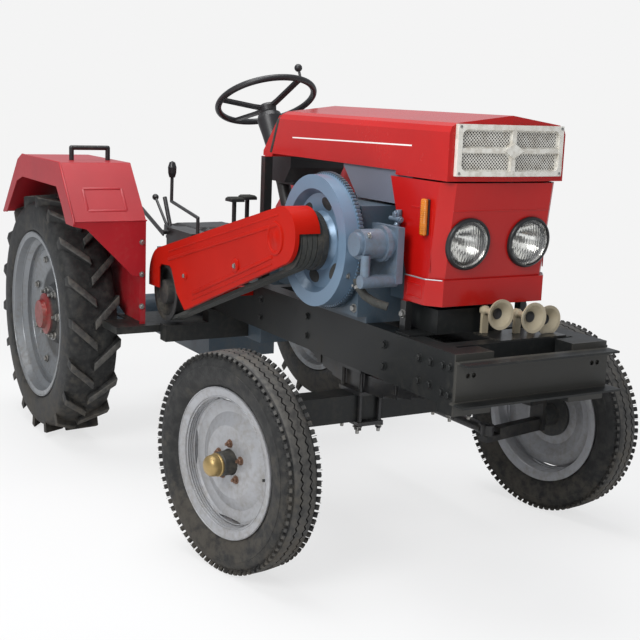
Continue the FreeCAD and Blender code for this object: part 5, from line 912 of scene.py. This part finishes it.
# %% Belt cover pressings
def bead(shape, start, end, width, height, normal=(0, -1, 0)):
    """A flat-topped bead with soft edges between two points of a plate."""
    start, end, normal = Vector(start), Vector(end), Vector(normal)
    along = (end - start).normalized()
    across = normal.cross(along)
    matrix = Matrix((along, across, normal)).transposed().to_4x4()
    matrix.translation = (start + end) / 2
    half = (end - start).length / 2
    block(shape, (-half, -width / 2, -height), (half, width / 2, height), height * 0.95, 3, matrix)


COVER_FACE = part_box("belt_cover")[0].y
COVER_SCREWS = ((0.412, 0.870, 0.024), (0.010, 0.776, 0.016))
cover = bmesh.new()
for width, height, start, end in ((0.013, 0.0030, (-0.150, 0.812), (0.690, 1.036)),
                                  (0.013, 0.0030, (0.070, 0.722), (0.660, 0.933)),
                                  (0.006, 0.0020, (-0.150, 0.840), (0.690, 1.064)),
                                  (0.006, 0.0020, (0.070, 0.700), (0.660, 0.911))):
    bead(cover, (start[0], COVER_FACE, start[1]), (end[0], COVER_FACE, end[1]), width, height)
ring_place = placed((0.676, COVER_FACE, 0.992), (0, -1, 0))
spin(cover, [(0.052, -0.001), (0.051, 0.0030), (0.047, 0.0042), (0.042, 0.0030), (0.040, 0.0004),
             (0.020, 0.0002), (0.017, 0.0022), (0, 0.0026)], ring_place, 48)
for along, up, radius in COVER_SCREWS:
    spin(cover, [(radius, -0.001), (radius * 0.93, 0.0040), (radius * 0.75, 0.0062), (radius * 0.4, 0.0066),
                 (radius * 0.34, 0.0050), (0, 0.0050)], placed((along, COVER_FACE, up), (0, -1, 0)), 32)
piece("belt_cover_beads", cover, cover_paint)
screws = bmesh.new()
for along, up, radius in COVER_SCREWS:
    bolt(screws, (along, COVER_FACE - 0.004, up), (0, -1, 0), 0.013)
piece("belt_cover_screws", screws, bright_steel)

# %% [markdown]
# The fenders are folded from one sheet. A rolled lip runs round the open edge, and a shallow pressed
# frame stiffens the sloping front.

# %% Fender lips and frames
FENDER_LINE = ((-0.2740, 0.9320), (-0.2760, 0.9450), (-0.4410, 1.1400), (-0.9260, 1.1400),
               (-0.9830, 1.1170), (-1.2120, 0.8840))
FENDER_EDGE = 0.7877
for side, sign in (("right", -1), ("left", 1)):
    lip = bmesh.new()
    pipe(lip, [(along, sign * FENDER_EDGE, up - 0.0015) for along, up in FENDER_LINE], 0.0042, 10)
    pipe(lip, [(-0.2745, sign * across, 0.9400) for across in (0.7900, 0.6500, 0.5120)], 0.0030, 8)
    piece(f"fender_{side}_lip", lip, fender_paint, sharp=50)

    slope = Vector((-0.165, 0, 0.200)).normalized()
    normal = Vector((0.200, 0, 0.165)).normalized()
    foot = Vector((-0.2760, sign * 0.6525, 0.9400))
    frame_bead = bmesh.new()
    for start, end in (((0.045, -0.074), (0.045, 0.074)), ((0.142, -0.074), (0.142, 0.074)),
                       ((0.045, -0.074), (0.142, -0.074)), ((0.045, 0.074), (0.142, 0.074))):
        points = [foot + slope * rise + Vector((0, across, 0)) for rise, across in (start, end)]
        bead(frame_bead, points[0], points[1], 0.011, 0.0026, normal)
    piece(f"fender_{side}_frame", frame_bead, fender_paint)

# %% [markdown]
# The front panel stands on a narrow ledge, and the pale grey line along its edge is a painted
# highlight. Thin raised lines divide it above the lamps and beside the markers, and a bolt holds
# each foot.

# %% Front panel edge, pressings and bolts
LEDGE, LEDGE_HEIGHT = ((0.986, 0.2128), (1.088, 0.2128), (1.128, 0.181)), 0.9185
edge = bmesh.new()
for sign in (-1, 1):
    # The pale grey tube along the ledge is a painted highlight.
    pipe(edge, [(along, sign * across, LEDGE_HEIGHT) for along, across in LEDGE], 0.0022, 8)
piece("front_panel_ledge_highlight", edge, rim_grey)
pressed = bmesh.new()
for sign in (-1, 1):
    side = (0, sign, 0)
    for start, end in (((1.002, 0.862), (1.074, 0.862)), ((1.002, 0.900), (1.074, 0.900)),
                       ((1.002, 0.862), (1.002, 0.900)), ((1.074, 0.862), (1.074, 0.900))):
        first, last = (start[0], sign * 0.2140, start[1]), (end[0], sign * 0.2140, end[1])
        bead(pressed, first, last, 0.006, 0.0014, side)
    for start, end in (((0.990, 1.116), (1.096, 1.116)), ((1.096, 0.940), (1.096, 1.116))):
        first, last = (start[0], sign * 0.2050, start[1]), (end[0], sign * 0.2050, end[1])
        bead(pressed, first, last, 0.004, 0.0013, side)
bead(pressed, (1.1459, -0.172, 1.116), (1.1459, 0.172, 1.116), 0.004, 0.0013, (0.993, 0, -0.116))
piece("front_panel_pressing", pressed, red_paint)
fixings = bmesh.new()
for sign in (-1, 1):
    bolt(fixings, (1.000, sign * 0.2230, 0.805), (0, sign, 0), 0.017)
piece("front_panel_bolts", fixings, bright_steel)

# %% [markdown]
# ## Chassis bolts
# The rails, the spring hangers and the bumper are bolted together, and every head stands on a washer.
# Those on the rails are painted with the chassis. The nuts under the spring clamps are bare steel.

# %% Rows of bolts
RAIL_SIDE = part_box("frame_rail_left")[1].y
rails = bmesh.new()
for sign in (-1, 1):
    for along in (1.215, 1.160, 0.980, 0.520, 0.190, -0.230, -0.520):
        for up in (0.648, 0.712):
            bolt(rails, (along, sign * RAIL_SIDE, up), (0, sign, 0), 0.017)
    for along in (1.272, 1.304):
        for up in (0.640, 0.715):
            bolt(rails, (along, sign * RAIL_SIDE, up), (0, sign, 0), 0.016)
piece("rail_bolts", rails, chassis_paint)

under_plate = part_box("spring_clamps")[0].z + 0.012
clamps = bmesh.new()
for sign in (-1, 1):
    for along in (0.677, 0.771):
        for across in (0.139, 0.217):
            bolt(clamps, (along, sign * across, under_plate), (0, 0, -1), 0.020, stud=0.014)
piece("spring_clamp_nuts", clamps, bright_steel)

# %% [markdown]
# Bare bolts hold the engine's side plate, the narrower end ahead of it and the fenders. Each row lies
# on the face that it clamps, so the faces are measured or named first.

# %% Engine and fender bolts
BLOCK_SIDE, CYLINDER_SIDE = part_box("engine_block")[0].y, -0.185
engine = bmesh.new()
for along, across, up in ((0.560, BLOCK_SIDE, 0.800), (0.560, BLOCK_SIDE, 1.060),
                          (0.855, BLOCK_SIDE, 1.060), (0.855, BLOCK_SIDE, 0.800),
                          (0.985, CYLINDER_SIDE, 0.870), (0.985, CYLINDER_SIDE, 0.955)):
    bolt(engine, (along, across, up), (0, -1, 0), 0.018)
piece("engine_bolts", engine, bright_steel)
rear = bmesh.new()
for sign in (-1, 1):
    for up in (0.62, 0.74, 0.86):
        bolt(rear, (-0.2740, sign * 0.530, up), (1, 0, 0), 0.014)
    for along in (-0.50, -0.62):
        bolt(rear, (along, sign * 0.515, 1.09), (0, -sign, 0), 0.014)
piece("fender_bolts", rear, bright_steel)

# %% [markdown]
# ## Seat cushion
# The cushion is foam under a vinyl cover. A rounded block is remeshed into an even net and blown up a
# little by a cloth simulation with its underside pinned, so that its top crowns and its sides pull in
# between the corners. The net is then fixed, and a piping cord is laid round its edge.

# %% Cushion blank
low, high = (Vector(corner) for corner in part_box("seat_cushion"))
shape = bmesh.new()
block(shape, low + Vector((0.008, 0.008, 0.0)), high - Vector((0.008, 0.008, 0.010)), 0.016, 4)
bmesh.ops.recalc_face_normals(shape, faces=shape.faces)
blank = bpy.data.meshes.new("seat_cushion_cover")
shape.to_mesh(blank)
shape.free()
cushion = bpy.data.objects.new("seat_cushion_cover", blank)
bpy.context.scene.collection.objects.link(cushion)


def fixed(thing):
    """Turn what the modifiers make into the piece's own mesh."""
    made = bpy.data.meshes.new_from_object(thing.evaluated_get(bpy.context.evaluated_depsgraph_get()))
    thing.modifiers.clear()
    thing.data = made


net = cushion.modifiers.new("net", "REMESH")
net.mode, net.voxel_size = "VOXEL", 0.006
fixed(cushion)
print("cushion net:", len(cushion.data.polygons), "faces")

# %% [markdown]
# The simulation runs for twenty frames without gravity. Its pressure pushes the net outwards, and a
# limit on how far any point may move keeps the cushion inside the seat's place.

# %% Blow the cushion up
PUFF = 0.009
pins = cushion.vertex_groups.new(name="pins")
pins.add([vert.index for vert in cushion.data.vertices if vert.co.z < low.z + 0.006], 1.0, "REPLACE")
start = [vert.co.copy() for vert in cushion.data.vertices]
cloth = cushion.modifiers.new("cloth", "CLOTH")
cloth.settings.use_pressure, cloth.settings.uniform_pressure_force = True, 4.0
cloth.settings.effector_weights.gravity = 0.0
cloth.settings.vertex_group_mass = "pins"
for frame_number in range(1, 21):
    bpy.context.scene.frame_set(frame_number)
fixed(cushion)
for vert, before in zip(cushion.data.vertices, start):
    moved = vert.co - before
    vert.co = before + moved * min(1.0, PUFF / max(moved.length, 1e-6))
bpy.context.scene.frame_set(1)
smooth = cushion.modifiers.new("smooth", "SUBSURF")
smooth.levels = smooth.render_levels = 1
fixed(cushion)
cushion.data.shade_smooth()
cushion.data.materials.clear()
cushion.data.materials.append(vinyl)
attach(cushion, "chassis")
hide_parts("seat_cushion")
print("cushion:", len(cushion.data.polygons), "faces")

# %% [markdown]
# A cord covers the seam where the top and the sides of the cover meet. It follows the rectangle of
# the cushion with a quarter circle at every corner.

# %% Piping round the cushion
CURVE = 0.0265
piping = bmesh.new()
first, last = low + Vector((0.030, 0.030, 0)), high - Vector((0.030, 0.030, 0))
corners = [(first.x, first.y), (last.x, first.y), (last.x, last.y), (first.x, last.y)]
loop = []
for index, (along, across) in enumerate(corners):
    for step in range(7):
        turn = math.radians(180 + 90 * index + 15 * step)
        loop.append((along + CURVE * math.cos(turn), across + CURVE * math.sin(turn), low.z + 0.0465))
pipe(piping, loop + loop[:1], 0.0034, 8)
piece("seat_piping", piping, vinyl, sharp=60)

# %% [markdown]
# ## Hood seal, grille screws and cowl
# A rubber lip closes the gap between the hood and the cowl. The grille's frame is held by four small
# screws, and a blank plate and two dials face the driver.

# %% Seal and screws
seal = bmesh.new()
COWL_SLOPE = 0.067 / 0.157
half_lip = [(-0.196, 1.216), (-0.196, 1.325), (-0.185, 1.338)]
lip = half_lip + [(-across, up) for across, up in reversed(half_lip)]
pipe(seal, [(0.155 - COWL_SLOPE * (1.356 - up), across, up) for across, up in lip], 0.0065, 10)
piece("hood_seal", seal, belt_rubber, sharp=60)

screws = bmesh.new()
for across in (-0.178, 0.178):
    for up in (1.2215, 1.3485):
        spin(screws, [(0.0048, -0.001), (0.0046, 0.0012), (0.0030, 0.0024), (0, 0.0028)],
             placed((1.1697, across, up), (1, 0, 0)), 16)
piece("grille_screws", screws, bright_steel, "hood")

# %% [markdown]
# The dials stand in raised bezels on the sloping cowl. Both bezels and their pale faces are turned
# about the slope's own normal, and the blank plate is a wide, flat bead.

# %% Cowl plate and dials
slope = Vector((0.116, 0, 0.128)).normalized()
facing = Vector((-0.128, 0, 0.116)).normalized()
base = Vector((0.069, 0, 1.280))
plate, glasses = bmesh.new(), bmesh.new()
low_row = base - slope * 0.030
bead(plate, low_row + Vector((0, -0.150, 0)), low_row + Vector((0, -0.085, 0)), 0.040, 0.0012, facing)
for across in (-0.030, 0.070):
    centre = base + Vector((0, across, 0))
    spin(plate, [(0.0400, -0.001), (0.0400, 0.0060), (0.0380, 0.0085), (0.0350, 0.0085), (0.0340, 0.0040)],
         placed(centre, facing), 40)
    spin(glasses, [(0.0345, 0.0045), (0.0200, 0.0058), (0, 0.0062)], placed(centre, facing), 40)
piece("cowl_fittings", plate, black_plastic)
piece("cowl_dials", glasses, cream_paint)

# %% [markdown]
# ## Tank and pipes
# The fuel tank under the hood is joined along a seam and has a tap below; a short hose leads the
# coolant away from the pump.

# %% Tank seam and tap
tank_low, tank_high = (Vector(corner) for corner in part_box("fuel_tank"))
seam = bmesh.new()
seam_y, seam_z = tank_low.y - 0.0010, (tank_low.z + tank_high.z) / 2 + 0.034
pipe(seam, [(tank_low.x + 0.020, seam_y, seam_z), (tank_high.x - 0.020, seam_y, seam_z)], 0.0022, 8)
piece("tank_seam", seam, tank_grey)
tap = bmesh.new()
pipe(tap, [(0.940, -0.214, 1.100), (0.940, -0.214, 1.070), (0.944, -0.224, 1.052)], 0.0090, 14)
pipe(tap, [(0.915, -0.226, 1.074), (0.968, -0.226, 1.074)], 0.0070, 12)
bolt(tap, (0.940, -0.222, 1.086), (0, -1, 0), 0.018)
bolt(tap, (0.968, -0.226, 1.074), (1, 0, 0), 0.013)
piece("tank_tap", tap, pump_alloy)

# %% [markdown]
# The hose is a tube through five points that bends away under the pump. A steel band with a small
# screw clamps its upper end.

# %% Pump hose
hose = bmesh.new()
pipe(hose, [(0.948, -0.352, 0.905), (0.958, -0.350, 0.880), (0.974, -0.338, 0.858),
            (0.996, -0.318, 0.842), (1.020, -0.290, 0.832)], 0.0125, 16)
piece("pump_hose", hose, belt_rubber, sharp=60)
clips = bmesh.new()
spin(clips, [(0.0132, -0.005), (0.0142, -0.004), (0.0142, 0.004), (0.0132, 0.005)],
     placed((0.9565, -0.3505, 0.884), (0.35, 0.15, -0.9)), 28)
bolt(clips, (0.950, -0.3650, 0.886), (0, -1, 0), 0.008, washer=False)
piece("pump_hose_clips", clips, bright_steel)

# %% [markdown]
# ## Pedal pads and leaf ends
# The pedals carry ribbed rubber pads, and the leaf springs are held together by small bands.

# %% Pedal pads
pads = bmesh.new()
for along, across, up in ((-0.283, -0.151, 1.0152), (-0.300, -0.089, 1.0212)):
    block(pads, (along - 0.029, across - 0.026, up - 0.004), (along + 0.029, across + 0.026, up + 0.004),
          0.003)
    for step in range(-2, 3):
        rib = along + step * 0.0105
        block(pads, (rib - 0.003, across - 0.022, up + 0.003), (rib + 0.003, across + 0.022, up + 0.0066),
              0.0012, 1)
piece("pedal_pads", pads, belt_rubber)

# %% [markdown]
# Short bands keep the leaves of each spring in line. Two thin blocks per band, one on either side of
# the pack, are all that shows of them.

# %% Leaf spring bands
bands = bmesh.new()
for sign in (-1, 1):
    for along in (0.500, 0.948):
        for across in (sign * 0.1505, sign * 0.2055):
            block(bands, (along - 0.013, across - 0.0022, 0.548), (along + 0.013, across + 0.0022, 0.606),
                  0.0016, 1)
piece("leaf_bands", bands, black_paint)
